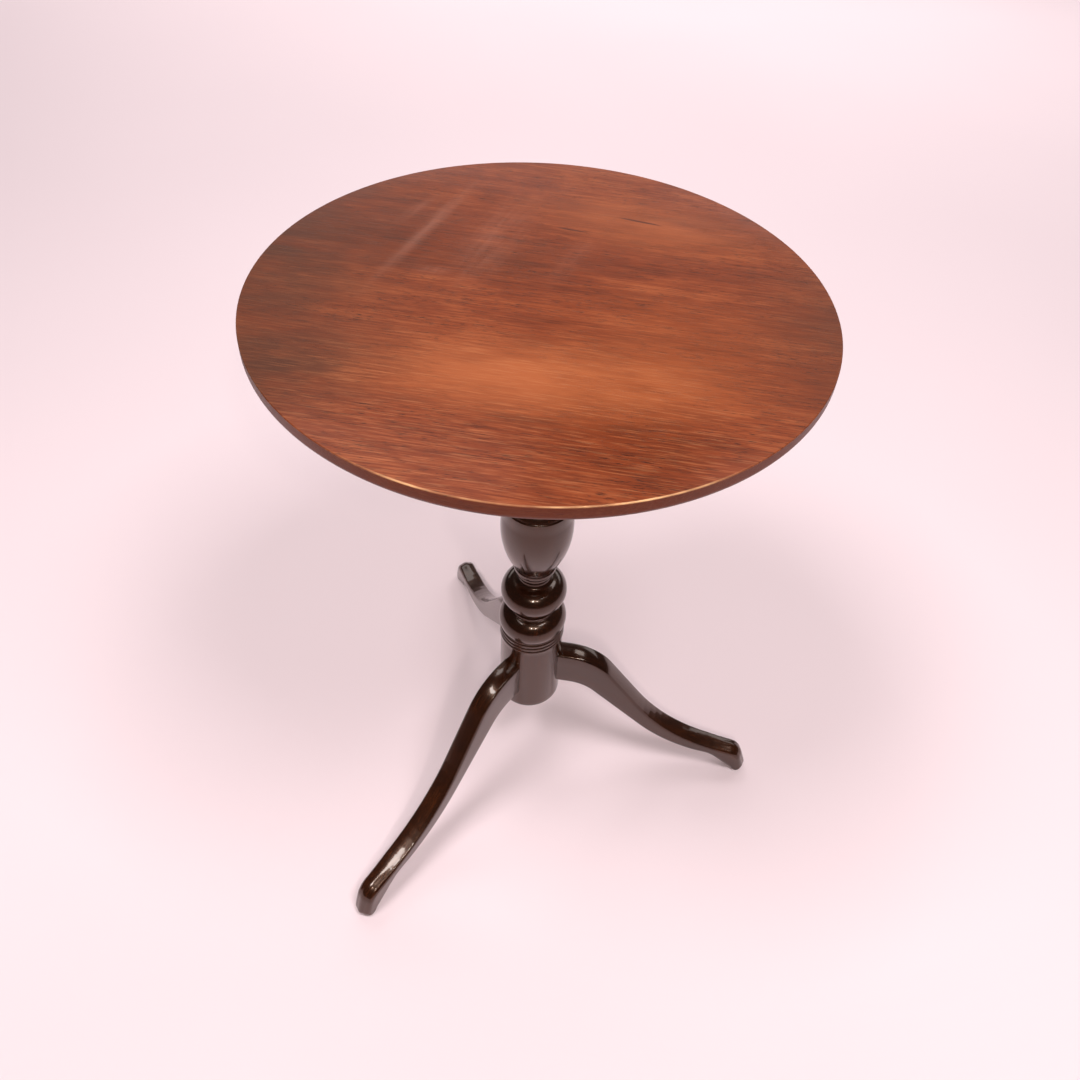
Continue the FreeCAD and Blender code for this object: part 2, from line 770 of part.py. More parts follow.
def make_screws(label, size, sites, flat=True, turn=FreeCAD.Rotation()):
    """A group of equal screws at sites (x, y, z), as one compound of separate solids."""
    screws = []
    for index, site in enumerate(sites):
        screw = make_screw(f"{label}_{index + 1}", size, flat)
        screw.Placement = FreeCAD.Placement(VECTOR(), turn)
        for axis, value in zip("xyz", site):
            screw.setExpression(f"Placement.Base.{axis}", bound(value))
        screws.append(screw)
    group = DOC.addObject("Part::Compound", label)
    group.Label = label
    group.Links = screws
    DOC.recompute()
    return group


def make_bolt_plate():
    body = new_body("bolt_plate")
    sketch = new_sketch(body, "XY_Plane", f"{UNDER} - bolt_plate_thickness")
    half = "bolt_plate_width / 2"
    outline(
        sketch,
        (f"-{half}", BOLT_PLATE_START),
        (half, BOLT_PLATE_START),
        (half, f"{BOLT_PLATE_START} + bolt_plate_length"),
        (f"-{half}", f"{BOLT_PLATE_START} + bolt_plate_length"),
    )
    pad(body, sketch, "bolt_plate_thickness")
    holes = new_sketch(body, "XY_Plane", f"{UNDER} - bolt_plate_thickness")
    circles(holes, "small_screw_radius + shank_play", *bolt_screw_sites())
    pocket(body, holes, "bolt_plate_thickness", reverse=True)
    level = f"{UNDER} - bolt_plate_thickness"
    seat = "small_screw_head_height"
    round_edges(body, seat, lambda e: is_ring(e, "small_screw_radius + shank_play", 2, level), "Chamfer")
    return body


CASE_START = f"({BOLT_PLATE_START} + (bolt_plate_length - case_length) / 2)"
CASE_END = f"({CASE_START} + case_length)"
CASE_TOP = f"({UNDER} - bolt_plate_thickness)"
BOLT_NOSE = "(block_back + bolt_set_back)"
BOLT_TAIL = f"({BOLT_NOSE} + bolt_length)"
STEM_MIDDLE = f"({BOLT_NOSE} + knob_stem_back)"


def bolt_window(sketch, play):
    """The bolt's cross-section seen along Y, grown by some play all round."""
    half = f"(bolt_width / 2 + {play})"
    rise = f"(bolt_height / 2 + {play})"
    outline(
        sketch,
        (f"-{half}", f"{BOLT_HEIGHT} - {rise}"),
        (half, f"{BOLT_HEIGHT} - {rise}"),
        (half, f"{BOLT_HEIGHT} + {rise}"),
        (f"-{half}", f"{BOLT_HEIGHT} + {rise}"),
    )


def box_outline(sketch, half, start, end):
    outline(sketch, (f"-{half}", start), (half, start), (half, end), (f"-{half}", end))


def make_bolt_case():
    """The folded brass case: open towards the plate, with a window and a slot."""
    body = new_body("bolt_case")
    sketch = new_sketch(body, "XY_Plane", CASE_FLOOR)
    box_outline(sketch, "(case_width / 2)", CASE_START, CASE_END)
    pad(body, sketch, "case_height")
    room = new_sketch(body, "XY_Plane", f"{CASE_FLOOR} + case_wall")
    half = "(case_width / 2 - case_wall)"
    box_outline(room, half, f"{CASE_START} + case_wall", f"{CASE_END} - case_wall")
    pocket(body, room, "case_height", reverse=True)
    window = new_sketch(body, "XZ_Plane", f"-{CASE_START} - case_wall")
    bolt_window(window, "bolt_play")
    pocket(body, window, "case_wall * 2", reverse=True)
    slot = new_sketch(body, "XY_Plane", CASE_FLOOR)
    half = "(knob_stem_radius + bolt_play)"
    box_outline(slot, half, f"{STEM_MIDDLE} - bolt_travel - {half}", f"{STEM_MIDDLE} + 2 * {half}")
    pocket(body, slot, "case_wall", reverse=True)
    return body


def make_slide_bolt():
    body = new_body("slide_bolt")
    sketch = new_sketch(body, "YZ_Plane")
    foot = f"{BOLT_HEIGHT} - bolt_height / 2"
    outline(
        sketch,
        (f"{BOLT_NOSE} + bolt_bevel", foot),
        (BOLT_TAIL, foot),
        (BOLT_TAIL, f"{BOLT_HEIGHT} + bolt_height / 2"),
        (BOLT_NOSE, f"{BOLT_HEIGHT} + bolt_height / 2"),
        (BOLT_NOSE, f"{foot} + bolt_bevel / 2"),
    )
    pad(body, sketch, "bolt_width", middle=True)
    return body


def make_bolt_knob():
    """The turned thumb knob, whose stem is riveted into the bolt's underside."""
    body = new_body("bolt_knob")
    sketch = new_sketch(body, "XZ_Plane")
    top = f"{BOLT_HEIGHT} - bolt_height / 2"
    foot = f"{top} - knob_reach"
    outline(
        sketch,
        ("0", foot),
        ("knob_face_radius", foot, "knob_face_round", -1),
        ("knob_radius - knob_edge", f"{foot} + knob_height"),
        ("knob_stem_radius", f"{foot} + knob_height + knob_neck"),
        ("knob_stem_radius", top),
        ("0", top),
    )
    revolve(body, sketch)
    body.setExpression("Placement.Base.y", bound(STEM_MIDDLE))
    return body


def make_bolt_spring():
    """The bowed brass strip over the bolt that holds it wherever it is slid."""
    body = new_body("bolt_spring")
    sketch = new_sketch(body, "YZ_Plane")
    start = f"({CASE_START} + case_wall + spring_set_back)"
    end = f"({start} + spring_span)"
    outline(
        sketch,
        (start, CASE_TOP, "spring_bow", -1),
        (end, CASE_TOP),
        (end, f"{CASE_TOP} - spring_thickness", "spring_bow", 1),
        (start, f"{CASE_TOP} - spring_thickness"),
    )
    pad(body, sketch, "spring_width", middle=True)
    return body


def make_keeper_plate():
    body = new_body("keeper_plate")
    sketch = new_sketch(body, "YZ_Plane")
    outline(
        sketch,
        ("block_back - keeper_thickness", f"{UNDER} - keeper_depth"),
        ("block_back", f"{UNDER} - keeper_depth"),
        ("block_back", UNDER),
        ("block_back - keeper_thickness", UNDER),
    )
    pad(body, sketch, "keeper_width", middle=True)
    window = new_sketch(body, "XZ_Plane", "keeper_thickness - block_back")
    bolt_window(window, "2 * bolt_play")
    pocket(body, window, "keeper_thickness")
    holes = new_sketch(body, "XZ_Plane", "keeper_thickness - block_back")
    sites = [(f"{side}keeper_screw_spread", BOLT_HEIGHT) for side in ("-", "")]
    circles(holes, "small_screw_radius + shank_play", *sites)
    pocket(body, holes, "keeper_thickness")
    seat = "small_screw_head_height"
    round_edges(
        body, seat, lambda e: is_ring(e, "small_screw_radius + shank_play", 1, "block_back"), "Chamfer"
    )
    return body


def make_all():
    """Every node of the table, in the order it would be put together."""
    parts = [make_column()]
    parts += [make_leg(f"leg_{name}", i) for i, name in enumerate(("right", "rear", "left"))]
    plate_foot = "drum_base - plate_thickness"
    sites = [(x, y, plate_foot) for x, y in plate_screw_sites()]
    parts += [
        make_spider_plate(),
        make_screws("spider_screws", "plate", sites, flat=False),
        make_tilt_block(),
        make_tenon_wedge(),
        make_keeper_plate(),
    ]
    turn = FreeCAD.Rotation(VECTOR(1, 0, 0), 90)
    sites = [(f"{side}keeper_screw_spread", "block_back", BOLT_HEIGHT) for side in ("-", "")]
    parts += [make_screws("keeper_screws", "small", sites, turn=turn), make_top_board()]
    seat = f"{UNDER} - bearer_depth + bearer_counterbore_depth"
    for name, side in (("left", -1), ("right", 1)):
        across = f"{side} * (block_width / 2 + bearer_gap + bearer_width / 2)"
        sites = [(across, y, seat) for y in bearer_screw_sites()]
        parts += [
            make_pintle(f"pintle_{name}", side),
            make_bearer(f"bearer_{name}", side),
            make_screws(f"bearer_screws_{name}", "bearer", sites, flat=False),
        ]
    sites = [(x, y, f"{UNDER} - bolt_plate_thickness") for x, y in bolt_screw_sites()]
    parts += [
        make_bolt_plate(),
        make_screws("bolt_screws", "small", sites),
        make_bolt_case(),
        make_slide_bolt(),
        make_bolt_knob(),
        make_bolt_spring(),
    ]
    return parts


def export(parts):
    """Check the document, then write each part as parts/NODE.step."""
    DOC.recompute()
    for item in DOC.Objects:
        if "Invalid" in item.State or "Error" in item.State:
            raise ValueError(f"{item.Label} did not compute: {item.State}")
    os.makedirs("parts", exist_ok=True)
    for part in parts:
        if part.Shape.isNull() or not part.Shape.isValid():
            raise ValueError(f"{part.Label} has no valid shape")
        part.Shape.exportStep(f"parts/{part.Label}.step")


export(make_all())
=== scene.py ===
"""Tilt top table in polished mahogany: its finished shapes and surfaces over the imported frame.

Metres, +Z up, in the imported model's own frame: +X runs along the board's grain and the
pintles, and -Y is the front.  Sizes are written in millimetres where a maker would say them
that way, and turned into metres by MM.
"""

import logging
import math
from collections.abc import Sequence
from dataclasses import dataclass, field, replace
from enum import Enum

import bmesh
import bpy
import numpy as np
from mathutils import Matrix, Vector


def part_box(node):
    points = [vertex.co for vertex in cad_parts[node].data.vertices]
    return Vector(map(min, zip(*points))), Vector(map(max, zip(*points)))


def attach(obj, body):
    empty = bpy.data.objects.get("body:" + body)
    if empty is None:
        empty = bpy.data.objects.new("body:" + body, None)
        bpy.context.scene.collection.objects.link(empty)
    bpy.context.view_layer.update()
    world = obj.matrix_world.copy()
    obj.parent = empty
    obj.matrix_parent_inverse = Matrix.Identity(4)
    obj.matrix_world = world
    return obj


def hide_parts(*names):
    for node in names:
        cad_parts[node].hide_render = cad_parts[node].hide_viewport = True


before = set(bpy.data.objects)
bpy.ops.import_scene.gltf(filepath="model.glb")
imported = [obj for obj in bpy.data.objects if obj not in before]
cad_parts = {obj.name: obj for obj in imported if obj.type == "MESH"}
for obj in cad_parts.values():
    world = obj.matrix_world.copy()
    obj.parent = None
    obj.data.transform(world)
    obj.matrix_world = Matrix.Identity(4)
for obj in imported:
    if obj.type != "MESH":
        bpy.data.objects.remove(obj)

LOG = logging.getLogger("tilt_top_table")
MM = 0.001
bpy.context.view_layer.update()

Colour = tuple[float, float, float]
Triple = tuple[float, float, float]
Point = tuple[float, float]


class Body(Enum):
    """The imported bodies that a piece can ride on."""

    BASE = "base"
    BOARD = "board"
    BOLT = "bolt"


class Slot(Enum):
    """The record's material slots."""

    BOARD = "board"
    UNDER_WOOD = "under_wood"
    DARK_WOOD = "dark_wood"
    BRASS = "brass"
    STEEL = "steel"
    IRON = "iron"


# ---------------------------------------------------------------------------------------
# Finishes
# ---------------------------------------------------------------------------------------


@dataclass(frozen=True)
class Lay:
    """How a pattern lies on a piece: its turn in degrees and where it starts, in metres."""

    turn: Triple = (0.0, 0.0, 0.0)
    start: Triple = (0.0, 0.0, 0.0)


@dataclass(frozen=True)
class Tone:
    """A soft oval on the board's face that is lighter, darker or duller than the rest."""

    middle: Point
    half_length: float
    half_width: float
    turn: float = 0.0
    strength: float = 1.0


class ShaderBench:
    """Builds one material's nodes a step at a time."""

    def __init__(self, name: str) -> None:
        """Start a material.

        Args:
            name: the finish and the piece that it is for.
        """
        self.material = bpy.data.materials.new(name)
        self.material.use_nodes = True
        self.tree = self.material.node_tree
        self.shader = self.tree.nodes["Principled BSDF"]
        self.place = self.tree.nodes.new("ShaderNodeTexCoord").outputs["Object"]

    def wire(self, value: object, socket: bpy.types.NodeSocket) -> None:
        """Link a socket to another, or write a plain value on it.

        Args:
            value: the socket or the plain value.
            socket: the input that takes it.
        """
        if isinstance(value, bpy.types.NodeSocket):
            self.tree.links.new(value, socket)
        elif socket.type == "RGBA":
            socket.default_value = (*value, 1.0)
        else:
            socket.default_value = value

    def grid(self, lay: Lay, size: Triple) -> bpy.types.NodeSocket:
        """Object coordinates in which one unit is one feature of a pattern.

        Args:
            lay: how the pattern lies on the piece.
            size: the feature's length, width and thickness in metres.

        Returns:
            The vector socket of the turned and stretched coordinates.
        """
        node = self.tree.nodes.new("ShaderNodeMapping")
        node.vector_type = "TEXTURE"
        self.wire(self.place, node.inputs["Vector"])
        node.inputs["Location"].default_value = lay.start
        node.inputs["Rotation"].default_value = [math.radians(angle) for angle in lay.turn]
        node.inputs["Scale"].default_value = size
        return node.outputs["Vector"]

    def noise(
        self,
        lay: Lay,
        size: Triple,
        detail: float = 3.0,
        roughness: float = 0.5,
        distortion: float = 0.0,
    ) -> bpy.types.NodeSocket:
        """A noise from 0 to 1 whose features have a size in metres.

        Args:
            lay: how the noise lies on the piece.
            size: its features' length, width and thickness in metres.
            detail: how many finer layers it has.
            roughness: how strong the finer layers are.
            distortion: how much it is warped.

        Returns:
            The noise's value socket.
        """
        node = self.tree.nodes.new("ShaderNodeTexNoise")
        self.wire(self.grid(lay, size), node.inputs["Vector"])
        node.inputs["Scale"].default_value = 1.0
        node.inputs["Detail"].default_value = detail
        node.inputs["Roughness"].default_value = roughness
        node.inputs["Distortion"].default_value = distortion
        return node.outputs[0]

    def spread(
        self, value: object, low: float, high: float, least: float = 0.0, most: float = 1.0
    ) -> bpy.types.NodeSocket:
        """A value stretched smoothly from low..high to least..most, and held at the ends.

        Args:
            value: the socket to stretch.
            low: the value that gives least.
            high: the value that gives most.
            least: what low becomes.
            most: what high becomes.

        Returns:
            The stretched value's socket.
        """
        node = self.tree.nodes.new("ShaderNodeMapRange")
        node.interpolation_type = "SMOOTHSTEP"
        for name, entry in zip(
            ("Value", "From Min", "From Max", "To Min", "To Max"), (value, low, high, least, most)
        ):
            self.wire(entry, node.inputs[name])
        return node.outputs["Result"]

    def sum(self, operation: str, first: object, second: object = 0.0) -> bpy.types.NodeSocket:
        """One step of arithmetic on two values.

        Args:
            operation: the step, such as ADD or MULTIPLY.
            first: the first socket or plain value.
            second: the second socket or plain value.

        Returns:
            The result's socket.
        """
        node = self.tree.nodes.new("ShaderNodeMath")
        node.operation = operation
        self.wire(first, node.inputs[0])
        self.wire(second, node.inputs[1])
        return node.outputs[0]

    def ramp(self, value: object, stops: Sequence[tuple[float, Colour]]) -> bpy.types.NodeSocket:
        """Colours run through by a value.

        Args:
            value: the socket that picks the colour.
            stops: each colour and the value that it stands at.

        Returns:
            The colour's socket.
        """
        node = self.tree.nodes.new("ShaderNodeValToRGB")
        elements = node.color_ramp.elements
        while len(elements) < len(stops):
            elements.new(0.5)
        for element, (position, colour) in zip(elements, stops):
            element.position = position
            element.color = (*colour, 1.0)
        self.wire(value, node.inputs["Fac"])
        return node.outputs["Color"]

    def blend(
        self, amount: object, under: object, over: object, kind: str = "MIX"
    ) -> bpy.types.NodeSocket:
        """One colour laid over another.

        Args:
            amount: how much of the upper colour shows, from 0 to 1.
            under: the lower colour.
            over: the upper colour.
            kind: how they mix, such as MIX or MULTIPLY.

        Returns:
            The mixed colour's socket.
        """
        node = self.tree.nodes.new("ShaderNodeMix")
        node.data_type = "RGBA"
        node.blend_type = kind
        factor, first, second = node.inputs[0], node.inputs[6], node.inputs[7]
        for entry, socket in zip((amount, under, over), (factor, first, second)):
            self.wire(entry, socket)
        return node.outputs[2]

    def tone(self, tone: Tone) -> bpy.types.NodeSocket:
        """How much of a soft oval there is here.

        Args:
            tone: the oval.

        Returns:
            The socket of a value from 0 outside it to its strength at its middle.
        """
        node = self.tree.nodes.new("ShaderNodeTexGradient")
        node.gradient_type = "SPHERICAL"
        lay = Lay(turn=(0.0, 0.0, tone.turn), start=(*tone.middle, 0.0))
        deep_enough = 20.0
        self.wire(
            self.grid(lay, (tone.half_length, tone.half_width, deep_enough)), node.inputs["Vector"]
        )
        return self.spread(node.outputs["Fac"], 0.0, 1.0, 0.0, tone.strength)

    def tones(self, tones: Sequence[Tone]) -> bpy.types.NodeSocket:
        """Several soft ovals added up.

        Args:
            tones: the ovals.

        Returns:
            The socket of their sum.
        """
        total = self.tone(tones[0])
        for tone in tones[1:]:
            total = self.sum("ADD", total, self.tone(tone))
        return total

    def bump(
        self, height: object, distance: float, strength: float, under: object = None
    ) -> bpy.types.NodeSocket:
        """A relief in the surface.

        Args:
            height: the socket that gives the relief.
            distance: how high it stands, in metres.
            strength: how much of it shows, from 0 to 1.
            under: a relief that this one is added to.

        Returns:
            The normal's socket.
        """
        node = self.tree.nodes.new("ShaderNodeBump")
        node.inputs["Strength"].default_value = strength
        node.inputs["Distance"].default_value = distance
        self.wire(height, node.inputs["Height"])
        if under is not None:
            self.wire(under, node.inputs["Normal"])
        return node.outputs["Normal"]

    def finish(self, **values: object) -> bpy.types.Material:
        """Set the shader's own sockets.

        Args:
            values: for each socket, named with underscores for spaces, what it takes.

        Returns:
            The finished material.
        """
        for name, value in values.items():
            label = name.replace("_", " ").title().replace("Ior", "IOR")
            self.wire(value, self.shader.inputs[label])
        return self.material


@dataclass(frozen=True)
class Mahogany:
    """Mahogany of one colour and polish; each piece gets it laid along its own grain."""

    name: str
    deep: Colour
    middle: Colour
    pale: Colour
    pore: Colour
    pore_depth: float = 0.6
    figure: Triple = (0.20, 0.016, 0.016)
    fibre: Triple = (0.060, 0.0022, 0.0022)
    pores: Triple = (0.015, 0.0012, 0.0012)
    crowding: Triple = (0.070, 0.016, 0.016)
    drift: Triple = (0.30, 0.11, 0.11)
    mottle: Triple = (0.040, 0.018, 0.018)
    waves: Triple = (0.050, 0.022, 0.022)
    shares: tuple[float, float, float, float] = (0.24, 0.38, 0.28, 0.14)
    stops: Triple = (0.38, 0.53, 0.69)
    roughness: float = 0.35
    roughness_drift: float = 0.08
    coat: float = 0.5
    coat_roughness: float = 0.12
    gloss: float = 0.5
    gloss_tint: Colour = (1.0, 1.0, 1.0)
    pore_relief: float = 0.00012
    wave_relief: float = 0.00030

    def grain(self, bench: ShaderBench, lay: Lay) -> tuple[bpy.types.NodeSocket, ...]:
        """The wood's colour, its pores and its broad drift.

        Args:
            bench: the material in the making.
            lay: how the grain lies.

        Returns:
            The sockets of the colour, the pores and the drift.
        """
        drift = bench.noise(lay, self.drift, detail=2.0, distortion=0.4)
        figure = bench.noise(lay, self.figure, detail=5.0, roughness=0.55, distortion=0.9)
        fibre = bench.noise(lay, self.fibre, detail=4.0, roughness=0.6, distortion=0.3)
        mottle = bench.noise(lay, self.mottle, detail=3.0)
        weighed = bench.sum("MULTIPLY", figure, self.shares[0])
        for share, pattern in zip(self.shares[1:], (fibre, drift, mottle)):
            weighed = bench.sum("ADD", weighed, bench.sum("MULTIPLY", pattern, share))
        colour = bench.ramp(weighed, list(zip(self.stops, (self.deep, self.middle, self.pale))))
        pores = bench.spread(bench.noise(lay, self.pores, detail=2.0, roughness=0.7), 0.53, 0.68)
        crowded = bench.spread(bench.noise(lay, self.crowding, detail=2.0), 0.30, 0.60, 0.25)
        pores = bench.sum("MULTIPLY", pores, crowded)
        colour = bench.blend(bench.sum("MULTIPLY", pores, self.pore_depth), colour, self.pore)
        return colour, pores, drift

    def rubbed(self, bench: ShaderBench, drift: object) -> bpy.types.NodeSocket:
        """The polish's roughness, which wanders a little over a piece.

        Args:
            bench: the material in the making.
            drift: the wood's broad drift.

        Returns:
            The roughness's socket.
        """
        low = self.roughness - self.roughness_drift
        high = self.roughness + self.roughness_drift
        return bench.spread(drift, 0.3, 0.7, low, high)

    def surface(
        self, bench: ShaderBench, lay: Lay, colour: object, pores: object, rough: object
    ) -> bpy.types.Material:
        """The polish over a colour.

        Args:
            bench: the material in the making.
            lay: how the grain lies.
            colour: the wood's colour.
            pores: where its pores are.
            rough: how rough the polish is.

        Returns:
            The finished material.
        """
        waves = bench.noise(lay, self.waves, detail=2.0)
        normal = bench.bump(waves, self.wave_relief, 0.35)
        normal = bench.bump(bench.sum("SUBTRACT", 1.0, pores), self.pore_relief, 0.45, normal)
        return bench.finish(
            base_color=colour,
            roughness=rough,
            normal=normal,
            specular_ior_level=self.gloss,
            specular_tint=self.gloss_tint,
            coat_weight=self.coat,
            coat_roughness=self.coat_roughness,
        )

    def make(self, piece: str, lay: Lay) -> bpy.types.Material:
        """This finish for one piece.

        Args:
            piece: the piece's name.
            lay: how the grain lies on it.

        Returns:
            The finished material.
        """
        bench = ShaderBench(f"{self.name}_{piece}")
        colour, pores, drift = self.grain(bench, lay)
        return self.surface(bench, lay, colour, pores, self.rubbed(bench, drift))


@dataclass(frozen=True)
class BoardPolish(Mahogany):
    """The board's face: painted shade darker towards the sides, patches of painted light, smeared
    streaks that carry a painted reflection, and a rubbed rim with a painted highlight.
    """

    rim: float = 0.2585
    face: float = 0.710
    # The rubbed arris's colour, which also stands for the lamps' painted highlight along the front
    # of the rim.
    rim_wear_and_highlight: Colour = (0.85, 0.46, 0.22)
    # Painted reflection: the pale window light seen in the streaks at the back left.
    reflection_haze: Colour = (0.36, 0.145, 0.095)
    # Painted shade: the colour of the darker patches towards the sides.
    painted_shade_colour: Colour = (0.075, 0.021, 0.010)
    # Painted shade: the side edge under the arris, darker and redder than the face.
    band: Colour = (0.110, 0.016, 0.002)
    fleck: Colour = (0.46, 0.155, 0.060)
    flecked: Tone = Tone((0.020, -0.180), 0.300, 0.170)
    fleck_size: Triple = (0.026, 0.0012, 0.0012)
    fleck_share: float = 0.34
    patch_size: Triple = (0.050, 0.020, 0.020)
    # The streaks at the back left: smears that dull the polish, and that also carry a painted
    # reflection.
    streak_lay: Lay = Lay((0.0, 0.0, 77.0))
    streak_size: Triple = (0.050, 0.006, 0.050)
    reflection_share: float = 0.55
    wipe_dullness: float = 0.12
    band_share: float = 0.75
    # Where the rim's painted highlight is strongest: the front, which faces the lamps.
    front: Tone = Tone((0.055, -0.262), 0.200, 0.110)
    scratch: Colour = (0.060, 0.014, 0.008)
    # Where the smeared streaks with their painted reflection lie.
    smears_and_reflections: tuple[Tone, ...] = (
        Tone((-0.130, 0.088), 0.150, 0.011, 77.8, 0.55),
        Tone((-0.151, 0.117), 0.045, 0.009, 71.0, 0.35),
        Tone((-0.064, 0.088), 0.130, 0.036, 81.0, 0.40),
        Tone((0.012, 0.062), 0.080, 0.018, 74.0, 0.18),
        Tone((-0.108, 0.012), 0.022, 0.012, 10.0, 0.40),
    )
    # Painted light: lighter patches, with a painted sheen at the back.
    lights: tuple[Tone, ...] = (
        Tone((0.080, 0.145), 0.170, 0.075, -6.0, 0.70),
        Tone((0.020, -0.118), 0.220, 0.070, 4.0, 1.15),
        Tone((0.130, -0.040), 0.150, 0.100, 0.0, 0.30),
    )
    # Painted shade: darker patches, strongest at the left and right sides.
    shades: tuple[Tone, ...] = (
        Tone((-0.300, -0.010), 0.255, 0.380, 0.0, 1.20),
        Tone((-0.050, 0.045), 0.090, 0.050, 20.0, 0.35),
        Tone((0.275, 0.010), 0.130, 0.250, 0.0, 0.80),
        Tone((-0.175, -0.150), 0.130, 0.080, 30.0, 0.60),
    )
    scratches: tuple[Tone, ...] = (
        Tone((0.003, 0.116), 0.022, 0.0022, -4.9, 1.0),
        Tone((0.068, 0.150), 0.031, 0.0024, -7.2, 1.0),
    )

    def edge(self, bench: ShaderBench) -> tuple[bpy.types.NodeSocket, ...]:
        """The rubbed arris with its painted highlight, and the edge band of painted shade under
        it.

        Args:
            bench: the material in the making.

        Returns:
            The sockets of how much of the rubbed, lit rim colour the arris takes, and of how far
            the band has begun.
        """
        flat = bench.tree.nodes.new("ShaderNodeVectorMath")
        flat.operation = "MULTIPLY"
        bench.wire(bench.place, flat.inputs[0])
        flat.inputs[1].default_value = (1.0, 1.0, 0.0)
        length = bench.tree.nodes.new("ShaderNodeVectorMath")
        length.operation = "LENGTH"
        bench.wire(flat.outputs["Vector"], length.inputs[0])
        parts = bench.tree.nodes.new("ShaderNodeSeparateXYZ")
        bench.wire(bench.place, parts.inputs["Vector"])
        out = bench.spread(length.outputs["Value"], self.rim - 1.6 * MM, self.rim - 0.5 * MM)
        up = bench.spread(parts.outputs["Z"], self.face - 1.3 * MM, self.face - 0.5 * MM)
        rubbed = bench.spread(bench.noise(Lay(), (0.05, 0.05, 0.05), detail=4.0), 0.38, 0.66, 0.15)
        rubbed_lit_arris = bench.sum("MULTIPLY", bench.sum("MULTIPLY", out, up), rubbed)
        # Keep the rubbed colour mostly to the front, where it is a painted highlight of the lamps.
        rubbed_lit_arris = bench.sum("MULTIPLY", rubbed_lit_arris, bench.spread(bench.tone(self.front), 0.0, 0.5, 0.03))
        below = bench.spread(parts.outputs["Z"], self.face - 0.4 * MM, self.face - 2.2 * MM)
        return rubbed_lit_arris, below

    def painted_light_and_shade(self, bench: ShaderBench, lay: Lay, colour: object) -> bpy.types.NodeSocket:
        """The colour with painted light and painted shade: paler and darker patches, and bright
        grain in front.

        Args:
            bench: the material in the making.
            lay: how the grain lies.
            colour: the wood's colour.

        Returns:
            The colour's socket, with its painted light and shade and its flecks.
        """
        patchy = bench.spread(bench.noise(lay, self.patch_size, detail=3.0), 0.25, 0.70, 0.55)
        # Painted light in patches.
        light = bench.sum("MULTIPLY", bench.tones(self.lights), patchy)
        colour = bench.blend(light, colour, self.pale)
        # Painted shade in patches.
        shade = bench.sum("MULTIPLY", bench.tones(self.shades), patchy)
        colour = bench.blend(shade, colour, self.painted_shade_colour)
        flecks = bench.spread(bench.noise(lay, self.fleck_size, detail=3.0), 0.50, 0.70)
        near = bench.spread(bench.tone(self.flecked), 0.0, 0.6, 0.25)
        near = bench.sum("MULTIPLY", near, self.fleck_share)
        return bench.blend(bench.sum("MULTIPLY", flecks, near), colour, self.fleck)

    def make(self, piece: str, lay: Lay) -> bpy.types.Material:
        """This finish for the board.

        Args:
            piece: the board's name.
            lay: how the grain lies on it.

        Returns:
            The finished material.
        """
        bench = ShaderBench(f"{self.name}_{piece}")
        colour, pores, drift = self.grain(bench, lay)
        colour = self.painted_light_and_shade(bench, lay, colour)
        # Painted reflection laid in the smeared streaks; the same streaks roughen the polish
        # below.
        streaks = bench.spread(bench.noise(self.streak_lay, self.streak_size), 0.3, 0.65, 0.3)
        smear_and_reflection = bench.sum("MULTIPLY", bench.tones(self.smears_and_reflections), streaks)
        colour = bench.blend(bench.sum("MULTIPLY", smear_and_reflection, self.reflection_share), colour, self.reflection_haze)
        scratched = bench.spread(bench.tones(self.scratches), 0.05, 0.5, 0.0, 0.8)
        colour = bench.blend(scratched, colour, self.scratch)
        rubbed_lit_arris, below = self.edge(bench)
        # Painted shade on the side edge under the arris.
        colour = bench.blend(bench.sum("MULTIPLY", below, self.band_share), colour, self.band)
        # The rubbed arris, with its painted highlight at the front.
        colour = bench.blend(rubbed_lit_arris, colour, self.rim_wear_and_highlight)
        dullness = bench.sum("MULTIPLY", smear_and_reflection, self.wipe_dullness)
        rough = bench.sum("ADD", self.rubbed(bench, drift), dullness)
        return self.surface(bench, lay, colour, pores, rough)


@dataclass(frozen=True)
class Metal:
    """A worked metal: its clean colour, its tarnish, and how it was finished."""

    name: str
    clean: Colour
    tarnish: Colour
    tarnish_spread: float
    roughness: float
    brushed: Triple
    relief: float

    def make(self, piece: str, lay: Lay) -> bpy.types.Material:
        """This finish for one piece.

        Args:
            piece: the piece's name.
            lay: how the tool's marks lie on it.

        Returns:
            The finished material.
        """
        bench = ShaderBench(f"{self.name}_{piece}")
        cloud = bench.noise(lay, (0.012, 0.012, 0.012), detail=5.0, roughness=0.65)
        edge = 0.5 - self.tarnish_spread / 2.0
        stained = bench.spread(cloud, edge, edge + 0.28)
        colour = bench.blend(stained, self.clean, self.tarnish)
        lines = bench.noise(lay, self.brushed, detail=3.0, roughness=0.6)
        rough = bench.spread(lines, 0.3, 0.7, self.roughness - 0.06, self.roughness + 0.08)
        rough = bench.sum("ADD", rough, bench.sum("MULTIPLY", stained, 0.18))
        normal = bench.bump(lines, self.relief, 0.4)
        return bench.finish(base_color=colour, metallic=1.0, roughness=rough, normal=normal)


